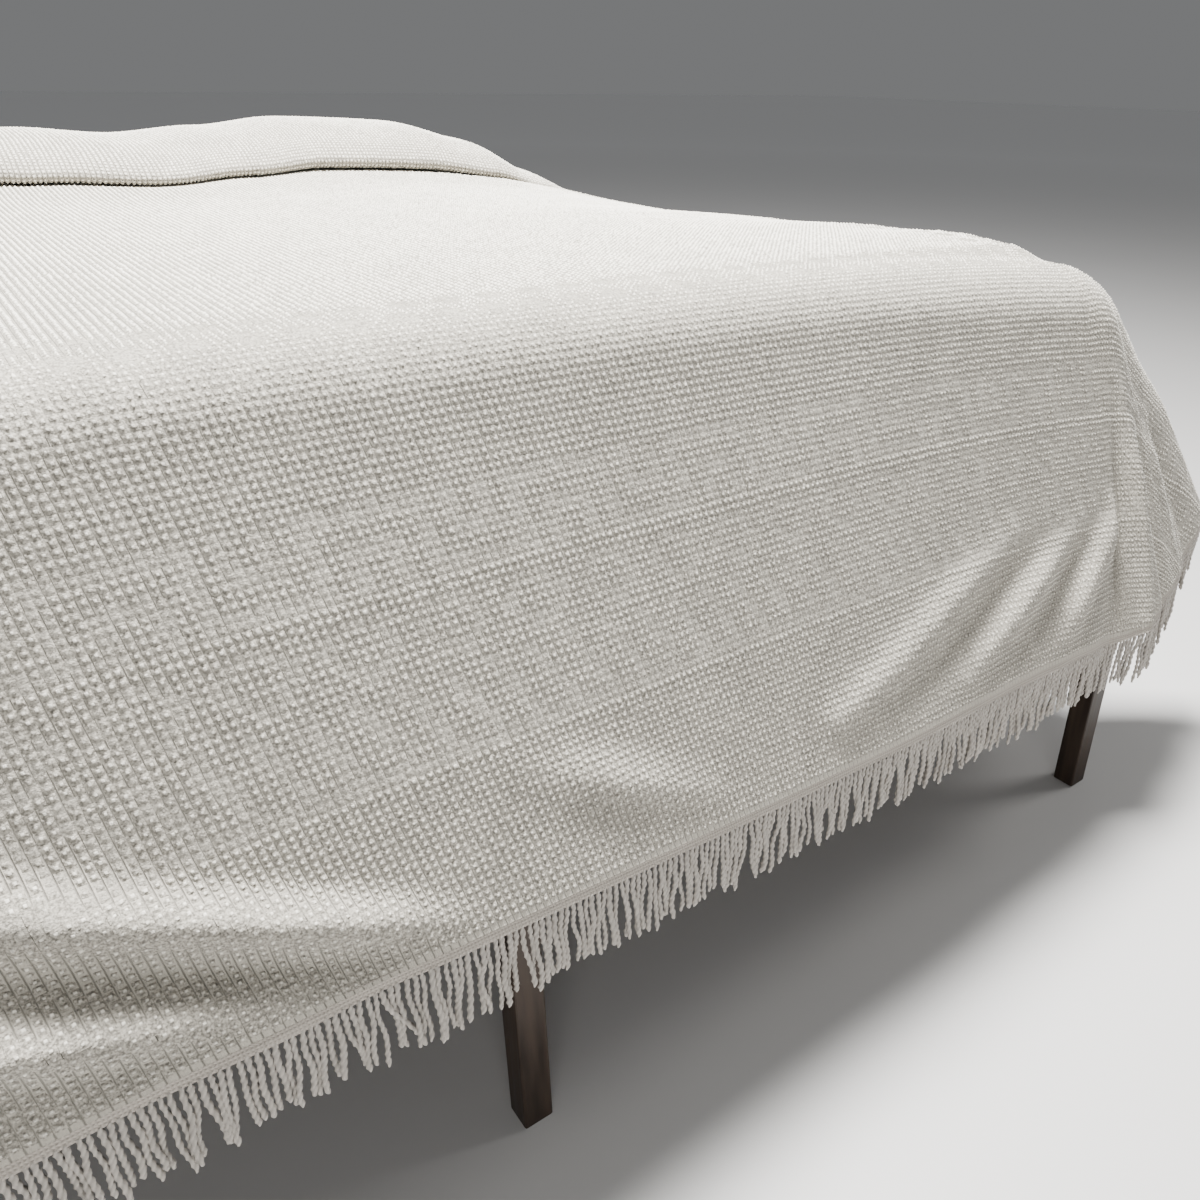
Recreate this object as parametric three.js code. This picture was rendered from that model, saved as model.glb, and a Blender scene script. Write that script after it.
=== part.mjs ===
// Candlewick bedspread with a fringed hem, draped over a king-size bed and its two pillows.
// Millimetres, +Z up, +Y to the head of the bed. The origin is on the floor under the bed's centre leg.
import * as THREE from "three";

// The bed, from the floor up
const SEAT_GAP = 0.3;
const LEG = { width: 36, height: 360, foot: -1117, head: 960, side: 970, footMiddle: -80 };
const PLATFORM = { ledgeSide: 80, ledgeFoot: 126, ledgeHead: 10, height: 60, corner: 95 };
const FOUNDATION = { inset: 12, height: 170, corner: 60 };
const MATTRESS = { width: 1930, length: 2032, height: 276, edge: 74, corner: 105, headY: 1022 };
const MATTRESS_FOOTING = { inset: 20, lift: 24, corner: 8 };
const PILLOW = { centreX: 372, width: 650, depth: 400, front: 66, height: 66, seam: 6, fullness: 2.6 };

// The cloth and its fringe
const CLOTH = 3;
const CLOTH_GAP = 0.6;
const EDGE_SLACK = 3;
const DROP = 573;
const HALF_TOP = 891;
const FOOT_CREST = -936;
const TUCK = 340;
const FOLDS_GROW = 0.35 * DROP;
const TAPE = { height: 24, gap: 0.95, hang: 0.35 };
const LOCK = { pitch: 31, share: 0.6, length: 75, uneven: 12, sway: 5, taper: 0.62 };

const BASE_Z = LEG.height + SEAT_GAP;
const FOUNDATION_Z = BASE_Z + PLATFORM.height + SEAT_GAP;
const MATTRESS_Z = FOUNDATION_Z + FOUNDATION.height + SEAT_GAP;
const MATTRESS_TOP = MATTRESS_Z + MATTRESS.height;
const MATTRESS_FOOT = MATTRESS.headY - MATTRESS.length;
const TOP = MATTRESS_TOP + CLOTH_GAP;
const CORNER_RUN = (Math.PI / 2) * DROP;
const SIDE_START = HALF_TOP + CORNER_RUN;

// How far the top of the bed falls off to its long edges, from the foot to the head
const EDGE_FALL = [
  { y: FOOT_CREST, fall: 31 },
  { y: -786, fall: 13 },
  { y: -640, fall: 21 },
  { y: -370, fall: 38 },
  { y: -130, fall: 57 },
  { y: 160, fall: 58 },
  { y: 470, fall: 52 },
  { y: 1040, fall: 40 },
];

// How the cloth leaves the top, going round the hem from the left side to the right one.
// at: place along the hem, 0 at the middle of the foot. tilt: degrees from plumb. roll: radius of the turn.
const RIM = [
  { at: -SIDE_START, tilt: 17, roll: 87 },
  { at: -HALF_TOP - CORNER_RUN / 2, tilt: 32, roll: 155 },
  { at: -HALF_TOP, tilt: 28, roll: 92 },
  { at: -333, tilt: 29, roll: 87 },
  { at: 279, tilt: 26, roll: 87 },
  { at: HALF_TOP, tilt: 22, roll: 87 },
  { at: HALF_TOP + 0.45 * CORNER_RUN, tilt: 24, roll: 112 },
  { at: HALF_TOP + 0.74 * CORNER_RUN, tilt: 36.5, roll: 166 },
  { at: SIDE_START, tilt: 17, roll: 87 },
];

// Soft ridges (height above 0) and troughs (below 0) of the drop, each along a line on the cloth.
// at0, down0: where the line starts, along the hem and down from the crest. at1, down1: where it ends.
const FOLDS = [
  // the foot, with slack ridges above the hem on the left and ripples fanning from the right corner
  { at0: -500, down0: 400, at1: -270, down1: 560, width: 26, height: 18 },
  { at0: -500, down0: 448, at1: -320, down1: 573, width: 22, height: -12 },
  { at0: -520, down0: 505, at1: -405, down1: 573, width: 20, height: 15 },
  { at0: -140, down0: 440, at1: 20, down1: 550, width: 30, height: 12 },
  { at0: 660, down0: 385, at1: 240, down1: 530, width: 34, height: 13 },
  { at0: 720, down0: 410, at1: 370, down1: 545, width: 32, height: -10 },
  { at0: 810, down0: 400, at1: 490, down1: 550, width: 32, height: 16 },
  { at0: 870, down0: 400, at1: 600, down1: 573, width: 32, height: -12 },
  { at0: 950, down0: 360, at1: 705, down1: 573, width: 34, height: 17 },
  // the right foot corner
  { at0: 1020, down0: 270, at1: 860, down1: 573, width: 34, height: -10 },
  { at0: 1110, down0: 250, at1: 1000, down1: 573, width: 40, height: 15 },
  { at0: 1230, down0: 260, at1: 1180, down1: 573, width: 46, height: -12 },
  { at0: 1340, down0: 300, at1: 1330, down1: 573, width: 44, height: 12 },
  { at0: 1430, down0: 300, at1: 1440, down1: 573, width: 40, height: -12 },
  { at0: 1580, down0: 240, at1: 1590, down1: 573, width: 60, height: 18 },
  { at0: 1710, down0: 300, at1: 1720, down1: 573, width: 44, height: -10 },
  // the left foot corner
  { at0: -1010, down0: 330, at1: -960, down1: 573, width: 48, height: -10 },
  { at0: -1120, down0: 290, at1: -1100, down1: 573, width: 56, height: 18 },
  { at0: -1270, down0: 300, at1: -1265, down1: 573, width: 54, height: -15 },
  { at0: -1400, down0: 240, at1: -1410, down1: 573, width: 60, height: 24 },
  { at0: -1540, down0: 300, at1: -1550, down1: 573, width: 54, height: -15 },
  { at0: -1660, down0: 290, at1: -1690, down1: 573, width: 58, height: 18 },
  // the long sides
  { at0: 2060, down0: 180, at1: 2090, down1: 573, width: 88, height: 16 },
  { at0: 2420, down0: 240, at1: 2390, down1: 573, width: 80, height: 13 },
  { at0: 2760, down0: 160, at1: 2790, down1: 573, width: 92, height: 17 },
  { at0: 3120, down0: 200, at1: 3140, down1: 573, width: 76, height: 18 },
  { at0: 3390, down0: 180, at1: 3370, down1: 573, width: 70, height: 20 },
  { at0: 3650, down0: 200, at1: 3670, down1: 573, width: 76, height: 19 },
  { at0: -2030, down0: 220, at1: -2010, down1: 573, width: 84, height: 15 },
  { at0: -2360, down0: 170, at1: -2390, down1: 573, width: 90, height: 17 },
  { at0: -2730, down0: 240, at1: -2700, down1: 573, width: 82, height: 13 },
  { at0: -3060, down0: 190, at1: -3090, down1: 573, width: 78, height: 18 },
  { at0: -3350, down0: 200, at1: -3340, down1: 573, width: 72, height: 20 },
  { at0: -3640, down0: 180, at1: -3660, down1: 573, width: 78, height: 19 },
];

// The cloth's path at the head: up to the tuck, back under itself, round the lip and over the pillow.
// back: behind the tuck's mouth. up: above the mattress.
const HEAD_PATH = [
  { back: -260, up: 0 },
  { back: -150, up: 2 },
  { back: -60, up: 8 },
  { back: 0, up: 13 },
  { back: 36, up: 15 },
  { back: 52, up: 20 },
  { back: 38, up: 26 },
  { back: 8, up: 26 },
  { back: -9, up: 30 },
  { back: -9, up: 41 },
  { back: 18, up: 64 },
  { back: 86, up: 88 },
  { back: 190, up: 98 },
  { back: 300, up: 96 },
  { back: 400, up: 80 },
  { back: 480, up: 52 },
  { back: 540, up: 22 },
  { back: 590, up: 6 },
  { back: 640, up: 1 },
];

// How much of that path the cloth follows and how far forward the tuck lies, from the middle to the edge
const PILLOW_SPAN = [
  { x: 0, share: 0.74, forward: 190 },
  { x: 160, share: 0.84, forward: 100 },
  { x: 340, share: 1, forward: 0 },
  { x: 560, share: 1, forward: 0 },
  { x: 690, share: 0.79, forward: 40 },
  { x: 800, share: 0.34, forward: 90 },
  { x: HALF_TOP, share: 0, forward: 110 },
];
const FORWARD_START = 300;
const LIP_ROW = 7;

// The cloth's own pull: columns lean right over the left of the foot, and slack gathers above the hem there
const SKEW = { lean: 0.138, fullAt: HALF_TOP - 1000, fadeFrom: -350 };
const GATHER = { slack: 26, from: 371, full: -329, fadeFrom: -640, startDown: 0.7 };
const SAG = { inward: 12.6, down: 0.3 };

const COLOURS = { cloth: 0xe9e4da, tape: 0xd9d0c0, linen: 0xe8e6e0, foundation: 0xb9b2a6, wood: 0x2b211b };
const ROUGHNESS = { cloth: 0.95, tape: 0.95, linen: 0.9, foundation: 0.9, wood: 0.55 };

function ease(t) {
  const k = THREE.MathUtils.clamp(t, 0, 1);
  return k * k * (3 - 2 * k);
}

// Value of one column of a table at a place, eased from row to row
function column(rows, key, name, at) {
  let i = 0;
  while (i < rows.length - 2 && at > rows[i + 1][key]) i += 1;
  const [low, high] = [rows[i], rows[i + 1]];
  const t = ease((at - low[key]) / (high[key] - low[key]));
  return low[name] + (high[name] - low[name]) * t;
}

// The head path as a smooth line, read by length along it
const STEPS_PER_SPAN = 16;
const headCurve = new THREE.SplineCurve(HEAD_PATH.map((row) => new THREE.Vector2(row.back, row.up)));
const headPoints = headCurve.getPoints((HEAD_PATH.length - 1) * STEPS_PER_SPAN);
const headLengths = [0];
for (let i = 1; i < headPoints.length; i += 1) {
  headLengths.push(headLengths[i - 1] + headPoints[i].distanceTo(headPoints[i - 1]));
}
const HEAD_START = TUCK + HEAD_PATH[0].back - FOOT_CREST;
const HEAD_LENGTH = headLengths[headLengths.length - 1];
const HEAD_RUN = HEAD_PATH[HEAD_PATH.length - 1].back - HEAD_PATH[0].back;
const LIP = headLengths[LIP_ROW * STEPS_PER_SPAN];

function headPoint(along) {
  const s = THREE.MathUtils.clamp(along, 0, HEAD_LENGTH);
  let i = 1;
  while (i < headLengths.length - 1 && headLengths[i] < s) i += 1;
  const t = (s - headLengths[i - 1]) / (headLengths[i] - headLengths[i - 1]);
  return headPoints[i - 1].clone().lerp(headPoints[i], t);
}

function edgeFall(x, y, slack = 0) {
  const share = Math.min(Math.abs(x) / HALF_TOP, 1);
  return (column(EDGE_FALL, "y", "fall", y) + slack) * Math.pow(share, 3);
}

// A point of the cloth on top of the bed: u across, v along the cloth from the foot crest
function topPoint(u, v) {
  const along = Math.max(v - HEAD_START, 0);
  const path = headPoint(along);
  const share = column(PILLOW_SPAN, "x", "share", Math.abs(u));
  const plainY = Math.min(v, HEAD_START) + FOOT_CREST + (along / HEAD_LENGTH) * HEAD_RUN;
  const onPathY = along > 0 ? THREE.MathUtils.lerp(plainY, TUCK + path.x, share) : plainY;
  const drawn = ease((v - FORWARD_START) / (HEAD_START + LIP - FORWARD_START));
  const eased = 1 - ease((along - LIP) / (HEAD_LENGTH - LIP));
  const y = onPathY - column(PILLOW_SPAN, "x", "forward", Math.abs(u)) * drawn * eased;
  return new THREE.Vector3(u, y, TOP - edgeFall(u, y) + share * path.y);
}

// Height of all folds at a place along the hem and down from the crest
function foldHeight(at, down) {
  let height = 0;
  for (const fold of FOLDS) {
    const [run, fall] = [fold.at1 - fold.at0, fold.down1 - fold.down0];
    const t = ((at - fold.at0) * run + (down - fold.down0) * fall) / (run * run + fall * fall);
    const k = THREE.MathUtils.clamp(t, 0, 1);
    const away = Math.hypot(at - fold.at0 - k * run, down - fold.down0 - k * fall) / fold.width;
    height += fold.height * Math.exp(-away * away);
  }
  return height * ease(down / FOLDS_GROW);
}

// Any point of the cloth. Past the top's edge it rolls over, leans out and carries the folds.
function drape(u, v) {
  const topU = THREE.MathUtils.clamp(u, -HALF_TOP, HALF_TOP);
  const topV = Math.max(v, 0);
  const point = topPoint(topU, topV);
  const [outU, outV] = [u - topU, v - topV];
  const down = Math.hypot(outU, outV);
  if (down === 0) return point;
  const side = Math.sign(topU);
  const turn = outV === 0 ? Math.PI / 2 : Math.atan2(Math.abs(outU), -outV);
  const past = turn > 0 ? HALF_TOP + turn * DROP + topV : 0;
  const at = turn > 0 ? side * past : topU;
  const slope = THREE.MathUtils.degToRad(90 - column(RIM, "at", "tilt", at));
  const roll = column(RIM, "at", "roll", at);
  const slackAt = ease((GATHER.from - at) / (GATHER.from - GATHER.full));
  const slackFade = 1 - ease((GATHER.fadeFrom - at) / (HALF_TOP + GATHER.fadeFrom));
  const slackDown = THREE.MathUtils.clamp((down / DROP - GATHER.startDown) / (1 - GATHER.startDown), 0, 1);
  const length = down - GATHER.slack * slackAt * slackFade * slackDown;
  const bend = Math.min(length / roll, slope);
  const straight = Math.max(length - roll * slope, 0);
  const sag = SAG.inward * (down / DROP) ** 2;
  const fold = foldHeight(at, down);
  const rolled = { reach: roll * Math.sin(bend), fall: roll * (1 - Math.cos(bend)) };
  const reach = rolled.reach + straight * Math.cos(slope) - sag + fold * Math.sin(bend);
  const fall = rolled.fall + straight * Math.sin(slope) + SAG.down * sag - fold * Math.cos(bend);
  const leanRight = ease((HALF_TOP - u) / (HALF_TOP - SKEW.fullAt));
  const leanLeft = 1 - ease((SKEW.fadeFrom - u) / (HALF_TOP + SKEW.fadeFrom));
  point.x += (outU / down) * reach + SKEW.lean * down * leanRight * leanLeft;
  point.y += (outV / down) * reach;
  point.z -= fall;
  return point;
}

function evenly(from, to, count) {
  return Array.from({ length: count + 1 }, (_, i) => from + ((to - from) * i) / count);
}

function meshOf(name, points, triangles, stuff) {
  const geometry = new THREE.BufferGeometry();
  const positions = points.flatMap((p) => p.toArray());
  geometry.setAttribute("position", new THREE.Float32BufferAttribute(positions, 3));
  geometry.setIndex(triangles.flat());
  return meshFrom(name, geometry, stuff);
}

function meshFrom(name, geometry, stuff) {
  const material = new THREE.MeshStandardMaterial({ color: COLOURS[stuff], roughness: ROUGHNESS[stuff] });
  const mesh = new THREE.Mesh(geometry, material);
  mesh.name = name;
  return mesh;
}

// The cloth's net: a grid on the top, and columns that run down from its rim to the hem
const ACROSS_CELLS = 36;
const ACROSS = evenly(-HALF_TOP, HALF_TOP, ACROSS_CELLS);
const FLAT_CELLS = 7;
const headStations = HEAD_PATH.map((_, i) => HEAD_START + headLengths[i * STEPS_PER_SPAN]);
const ALONG = [...evenly(0, HEAD_START, FLAT_CELLS).slice(0, -1), ...headStations];
const DOWN = [0, 34, 68, 104, 160, 235, 310, 385, 450, 512, DROP];
const CORNER_CELLS = 14;

// Columns of the drop in order round the hem: where each leaves the top, and its direction on the flat cloth
function rimColumns() {
  const last = ACROSS.length - 1;
  const turns = evenly(0, Math.PI / 2, CORNER_CELLS);
  const corner = (i, side) => turns.map((t) => ({ i, j: 0, dirU: side * Math.sin(t), dirV: -Math.cos(t) }));
  const sideColumns = (i, side) => ALONG.slice(1).map((_, k) => ({ i, j: k + 1, dirU: side, dirV: 0 }));
  const foot = ACROSS.slice(1, -1).map((_, k) => ({ i: k + 1, j: 0, dirU: 0, dirV: -1 }));
  return [
    ...sideColumns(0, -1).reverse(),
    ...corner(0, -1).reverse(),
    ...foot,
    ...corner(last, 1),
    ...sideColumns(last, 1),
  ];
}

function clothNet() {
  const rows = ALONG.length;
  const topIndex = (i, j) => i * rows + j;
  const points = ACROSS.flatMap((u) => ALONG.map((v) => drape(u, v)));
  const triangles = [];
  const quad = (a, b, c, d) => {
    if (a !== b) triangles.push([a, b, c]);
    triangles.push([a, c, d]);
  };
  for (let i = 0; i < ACROSS.length - 1; i += 1) {
    for (let j = 0; j < rows - 1; j += 1) {
      quad(topIndex(i, j), topIndex(i + 1, j), topIndex(i + 1, j + 1), topIndex(i, j + 1));
    }
  }
  const rim = rimColumns().map((at) => {
    const [u, v] = [ACROSS[at.i], ALONG[at.j]];
    const below = DOWN.slice(1).map((d) => points.push(drape(u + d * at.dirU, v + d * at.dirV)) - 1);
    return [topIndex(at.i, at.j), ...below];
  });
  for (let r = 0; r < rim.length - 1; r += 1) {
    for (let k = 0; k < DOWN.length - 1; k += 1) {
      quad(rim[r + 1][k], rim[r][k], rim[r][k + 1], rim[r + 1][k + 1]);
    }
  }
  return { points, triangles, hem: rim.map((line) => line[line.length - 1]) };
}

// Unit normals of a net's points, each the mean of its faces
function normalsOf(points, triangles) {
  const normals = points.map(() => new THREE.Vector3());
  const face = new THREE.Triangle();
  const normal = new THREE.Vector3();
  for (const corners of triangles) {
    face.set(...corners.map((k) => points[k]));
    face.getNormal(normal).multiplyScalar(face.getArea());
    corners.forEach((k) => normals[k].add(normal));
  }
  return normals.map((n) => n.normalize());
}

// A closed sheet: the net as its back, the same net lifted as its front, and a rim between them
function closedSheet(points, triangles, front) {
  const count = points.length;
  const open = new Map();
  for (const [a, b, c] of triangles) {
    for (const [from, to] of [[a, b], [b, c], [c, a]]) {
      if (!open.delete(`${to} ${from}`)) open.set(`${from} ${to}`, [from, to]);
    }
  }
  const shell = triangles.flatMap(([a, b, c]) => [[a, c, b], [a + count, b + count, c + count]]);
  for (const [from, to] of open.values()) {
    shell.push([from, to, to + count], [from, to + count, from + count]);
  }
  return { points: [...points, ...front], triangles: shell };
}

const net = clothNet();
const netNormals = normalsOf(net.points, net.triangles);
const netFront = net.points.map((p, k) => p.clone().addScaledVector(netNormals[k], CLOTH));

function bedspread() {
  const sheet = closedSheet(net.points, net.triangles, netFront);
  return meshOf("bedspread", sheet.points, sheet.triangles, "cloth");
}

// The hem as a line of back and front points, with the way that the tape goes on from it
const downwards = new THREE.Vector3(0, 0, -1);
const hemLine = net.hem.map((k) => {
  const above = net.points[k - 1];
  const way = net.points[k].clone().sub(above).normalize().lerp(downwards, TAPE.hang).normalize();
  return { back: net.points[k], front: netFront[k], way };
});
const hemLengths = [0];
for (let r = 1; r < hemLine.length; r += 1) {
  hemLengths.push(hemLengths[r - 1] + hemLine[r].back.distanceTo(hemLine[r - 1].back));
}

// Back and front of the tape at a length along the hem and a depth under it
function tapePair(along, depth) {
  let r = 1;
  while (r < hemLengths.length - 1 && hemLengths[r] < along) r += 1;
  const t = (along - hemLengths[r - 1]) / (hemLengths[r] - hemLengths[r - 1]);
  const way = hemLine[r - 1].way.clone().lerp(hemLine[r].way, t);
  const at = (side) => hemLine[r - 1][side].clone().lerp(hemLine[r][side], t).addScaledVector(way, depth);
  return [at("back"), at("front")];
}

// Repeatable unevenness between -1 and 1
const SCATTER = { turn: 12.9898, spread: 43758.5453, swayShift: 0.37 };
function uneven(k) {
  const s = Math.sin(k * SCATTER.turn) * SCATTER.spread;
  return 2 * (s - Math.floor(s)) - 1;
}

// One strip of fringe: a tape with a lock of cords under every other cell, fused to it
function fringe(name, from, to) {
  const count = Math.round((to - from) / LOCK.pitch);
  const pitch = (to - from) / count;
  const stations = [from];
  for (let k = 0; k < count; k += 1) {
    stations.push(from + (k + LOCK.share) * pitch, from + (k + 1) * pitch);
  }
  const points = [];
  const triangles = [];
  const quad = (a, b, c, d) => triangles.push([a, c, b], [a, d, c]);
  const rings = stations.map((along) => {
    const [topBack, topFront] = tapePair(along, TAPE.gap);
    const [lowBack, lowFront] = tapePair(along, TAPE.gap + TAPE.height);
    return [topBack, topFront, lowFront, lowBack].map((p) => points.push(p) - 1);
  });
  const first = rings[0];
  const last = rings[rings.length - 1];
  quad(first[0], first[1], first[2], first[3]);
  quad(last[3], last[2], last[1], last[0]);
  for (let k = 0; k < rings.length - 1; k += 1) {
    const [a, b] = [rings[k], rings[k + 1]];
    for (const side of [0, 1, 3]) {
      const next = (side + 1) % 4;
      quad(a[side], b[side], b[next], a[next]);
    }
    const root = [a[2], b[2], b[3], a[3]];
    if (k % 2 === 1) quad(...root);
    else hangLock(points, quad, root, from + k);
  }
  return meshOf(name, points, triangles, "tape");
}

// A lock of cords: a tapering four-sided strand under one cell of the tape
function hangLock(points, quad, root, seed) {
  const middle = new THREE.Vector3();
  root.forEach((k) => middle.addScaledVector(points[k], 1 / root.length));
  const along = points[root[1]].clone().sub(points[root[0]]).normalize();
  const tip = middle.clone().addScaledVector(downwards, LOCK.length + LOCK.uneven * uneven(seed));
  tip.addScaledVector(along, LOCK.sway * uneven(seed + SCATTER.swayShift));
  const low = root.map((k) => {
    const offset = points[k].clone().sub(middle);
    offset.z = 0;
    return points.push(tip.clone().addScaledVector(offset, LOCK.taper)) - 1;
  });
  for (let k = 0; k < root.length; k += 1) {
    const next = (k + 1) % root.length;
    quad(root[k], root[next], low[next], low[k]);
  }
  quad(low[0], low[1], low[2], low[3]);
}

// The strips part where the drop turns the foot corners
function fringes() {
  const cornerStart = ALONG.length - 1;
  const footStart = cornerStart + CORNER_CELLS;
  const footEnd = footStart + ACROSS.length - 1;
  const cornerEnd = footEnd + CORNER_CELLS;
  const strips = [
    { name: "fringe_left", first: 0, last: cornerStart },
    { name: "fringe_left_corner", first: cornerStart, last: footStart },
    { name: "fringe_foot", first: footStart, last: footEnd },
    { name: "fringe_right_corner", first: footEnd, last: cornerEnd },
    { name: "fringe_right", first: cornerEnd, last: hemLine.length - 1 },
  ];
  const part = SEAT_GAP / 2;
  return strips.map((s) => fringe(s.name, hemLengths[s.first] + part, hemLengths[s.last] - part));
}

// Outline of a rectangle with round corners
function roundedRectangle(left, right, front, back, radius) {
  const shape = new THREE.Shape();
  shape.moveTo(left + radius, front);
  shape.absarc(right - radius, front + radius, radius, -Math.PI / 2, 0);
  shape.absarc(right - radius, back - radius, radius, 0, Math.PI / 2);
  shape.absarc(left + radius, back - radius, radius, Math.PI / 2, Math.PI);
  shape.absarc(left + radius, front + radius, radius, Math.PI, Math.PI * 1.5);
  return shape;
}

function slab(name, outline, bottom, height, stuff) {
  const extrusion = { depth: height, bevelEnabled: false, curveSegments: 6 };
  const geometry = new THREE.ExtrudeGeometry(outline, extrusion);
  geometry.translate(0, 0, bottom);
  return meshFrom(name, geometry, stuff);
}

// Cells of the mattress along a side, round a corner and over the top edge, and its rings on the top
const MATTRESS_NET = { side: 10, corner: 5, edge: 4, topRings: [0.3, 0.6, 0.85] };

// The mattress: rings of its outline, up the sides, round the top edge and in over the crowned top
function mattress() {
  const half = MATTRESS.width / 2;
  const turns = evenly(0, Math.PI / 2, MATTRESS_NET.edge);
  const edge = turns.map((t) => ({ inset: MATTRESS.edge * (1 - Math.cos(t)), rise: Math.sin(t) - 1 }));
  const flats = MATTRESS_NET.topRings.map((share) => ({ inset: share * half, rise: 0 }));
  const footing = [{ inset: MATTRESS_FOOTING.inset, lift: 0 }, { inset: 0, lift: MATTRESS_FOOTING.lift }];
  const rings = [...footing, ...edge, ...flats];
  const points = [];
  const outline = (inset) => {
    const radius = Math.max(MATTRESS.corner - inset, MATTRESS_FOOTING.corner);
    const [right, back, front] = [half - inset, MATTRESS.headY - inset, MATTRESS_FOOT + inset];
    const corners = [
      { x: right - radius, y: front + radius, start: -Math.PI / 2 },
      { x: right - radius, y: back - radius, start: 0 },
      { x: radius - right, y: back - radius, start: Math.PI / 2 },
      { x: radius - right, y: front + radius, start: Math.PI },
    ];
    return corners.flatMap((c, k) => {
      const onArc = (t) => new THREE.Vector2(c.x + radius * Math.cos(t), c.y + radius * Math.sin(t));
      const arc = evenly(c.start, c.start + Math.PI / 2, MATTRESS_NET.corner).map(onArc);
      const next = corners[(k + 1) % corners.length];
      const end = arc[arc.length - 1];
      const turn = next.start;
      const target = new THREE.Vector2(next.x + radius * Math.cos(turn), next.y + radius * Math.sin(turn));
      const straight = evenly(0, 1, MATTRESS_NET.side).slice(1, -1).map((t) => end.clone().lerp(target, t));
      return [...arc, ...straight];
    });
  };
  const heightAt = (ring, p) => {
    if (ring.lift !== undefined) return MATTRESS_Z + ring.lift;
    return MATTRESS_TOP - edgeFall(p.x, p.y, EDGE_SLACK) + ring.rise * MATTRESS.edge;
  };
  const loops = rings.map((ring) => outline(ring.inset).map((p) => {
    return points.push(new THREE.Vector3(p.x, p.y, heightAt(ring, p))) - 1;
  }));
  const triangles = [];
  const count = loops[0].length;
  for (let r = 0; r < loops.length - 1; r += 1) {
    for (let k = 0; k < count; k += 1) {
      const next = (k + 1) % count;
      const [a, b] = [loops[r], loops[r + 1]];
      triangles.push([a[k], a[next], b[next]], [a[k], b[next], b[k]]);
    }
  }
  const cap = (loop, up) => {
    const contour = loop.map((k) => new THREE.Vector2(points[k].x, points[k].y));
    for (const [a, b, c] of THREE.ShapeUtils.triangulateShape(contour, [])) {
      triangles.push(up ? [loop[a], loop[b], loop[c]] : [loop[a], loop[c], loop[b]]);
    }
  };
  cap(loops[0], false);
  cap(loops[loops.length - 1], true);
  return meshOf("mattress", points, triangles, "linen");
}

// A pillow: a soft lens with a flat underside, lying on the mattress behind the tuck
function pillow(name, side) {
  const cells = { across: 14, along: 10 };
  const profile = (t) => Math.sqrt(Math.max(1 - Math.abs(t) ** PILLOW.fullness, 0));
  const centreY = TUCK + PILLOW.front + PILLOW.depth / 2;
  const bottom = MATTRESS_TOP + SEAT_GAP;
  const points = [];
  const triangles = [];
  const index = (i, j) => i * (cells.along + 1) + j;
  const spread = (k, count) => Math.sin((Math.PI / 2) * ((2 * k) / count - 1));
  for (let i = 0; i <= cells.across; i += 1) {
    for (let j = 0; j <= cells.along; j += 1) {
      const [a, b] = [spread(i, cells.across), spread(j, cells.along)];
      const height = PILLOW.height * profile(a) * profile(b);
      const x = side * PILLOW.centreX + (a * PILLOW.width) / 2;
      points.push(new THREE.Vector3(x, centreY + (b * PILLOW.depth) / 2, bottom + PILLOW.seam + height));
    }
  }
  for (let i = 0; i < cells.across; i += 1) {
    for (let j = 0; j < cells.along; j += 1) {
      const [a, b, c, d] = [index(i, j), index(i + 1, j), index(i + 1, j + 1), index(i, j + 1)];
      triangles.push([a, b, c], [a, c, d]);
    }
  }
  const under = points.map((p) => new THREE.Vector3(p.x, p.y, bottom));
  const solid = closedSheet(under, triangles, points);
  return meshOf(name, solid.points, solid.triangles, "linen");
}

function legs() {
  const places = [
    { name: "leg_foot_left", x: -LEG.side, y: LEG.foot },
    { name: "leg_foot_middle", x: LEG.footMiddle, y: LEG.foot },
    { name: "leg_foot_right", x: LEG.side, y: LEG.foot },
    { name: "leg_centre_left", x: -LEG.side, y: 0 },
    { name: "leg_centre", x: 0, y: 0 },
    { name: "leg_centre_right", x: LEG.side, y: 0 },
    { name: "leg_head_left", x: -LEG.side, y: LEG.head },
    { name: "leg_head_middle", x: 0, y: LEG.head },
    { name: "leg_head_right", x: LEG.side, y: LEG.head },
  ];
  return places.map((place) => {
    const geometry = new THREE.BoxGeometry(LEG.width, LEG.width, LEG.height);
    const leg = meshFrom(place.name, geometry, "wood");
    leg.position.set(place.x, place.y, LEG.height / 2);
    return leg;
  });
}

function platform() {
  const half = MATTRESS.width / 2 + PLATFORM.ledgeSide;
  const front = MATTRESS_FOOT - PLATFORM.ledgeFoot;
  const back = MATTRESS.headY + PLATFORM.ledgeHead;
  const outline = roundedRectangle(-half, half, front, back, PLATFORM.corner);
  return slab("platform", outline, BASE_Z, PLATFORM.height, "wood");
}

function foundation() {
  const half = MATTRESS.width / 2 - FOUNDATION.inset;
  const front = MATTRESS_FOOT + FOUNDATION.inset;
  const back = MATTRESS.headY - FOUNDATION.inset;
  const outline = roundedRectangle(-half, half, front, back, FOUNDATION.corner);
  return slab("foundation", outline, FOUNDATION_Z, FOUNDATION.height, "foundation");
}

const bed = new THREE.Group();
bed.add(bedspread(), ...fringes());
bed.add(pillow("pillow_left", -1), pillow("pillow_right", 1));
bed.add(mattress(), foundation(), platform(), ...legs());

export default bed;
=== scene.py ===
"""Looks of a candlewick bedspread with a fringed hem, draped over a king-size bed.

The cloth is worked out in millimetres on its flat cut: u runs across it, v along it from the crest at the
foot of the bed towards the head. drape() takes a place on the flat cut to where it lies on the bed. The
sheet, its nubs, the tape and the fringe are all placed with it. MM turns the points into the frame's metres.
"""

import math

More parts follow.
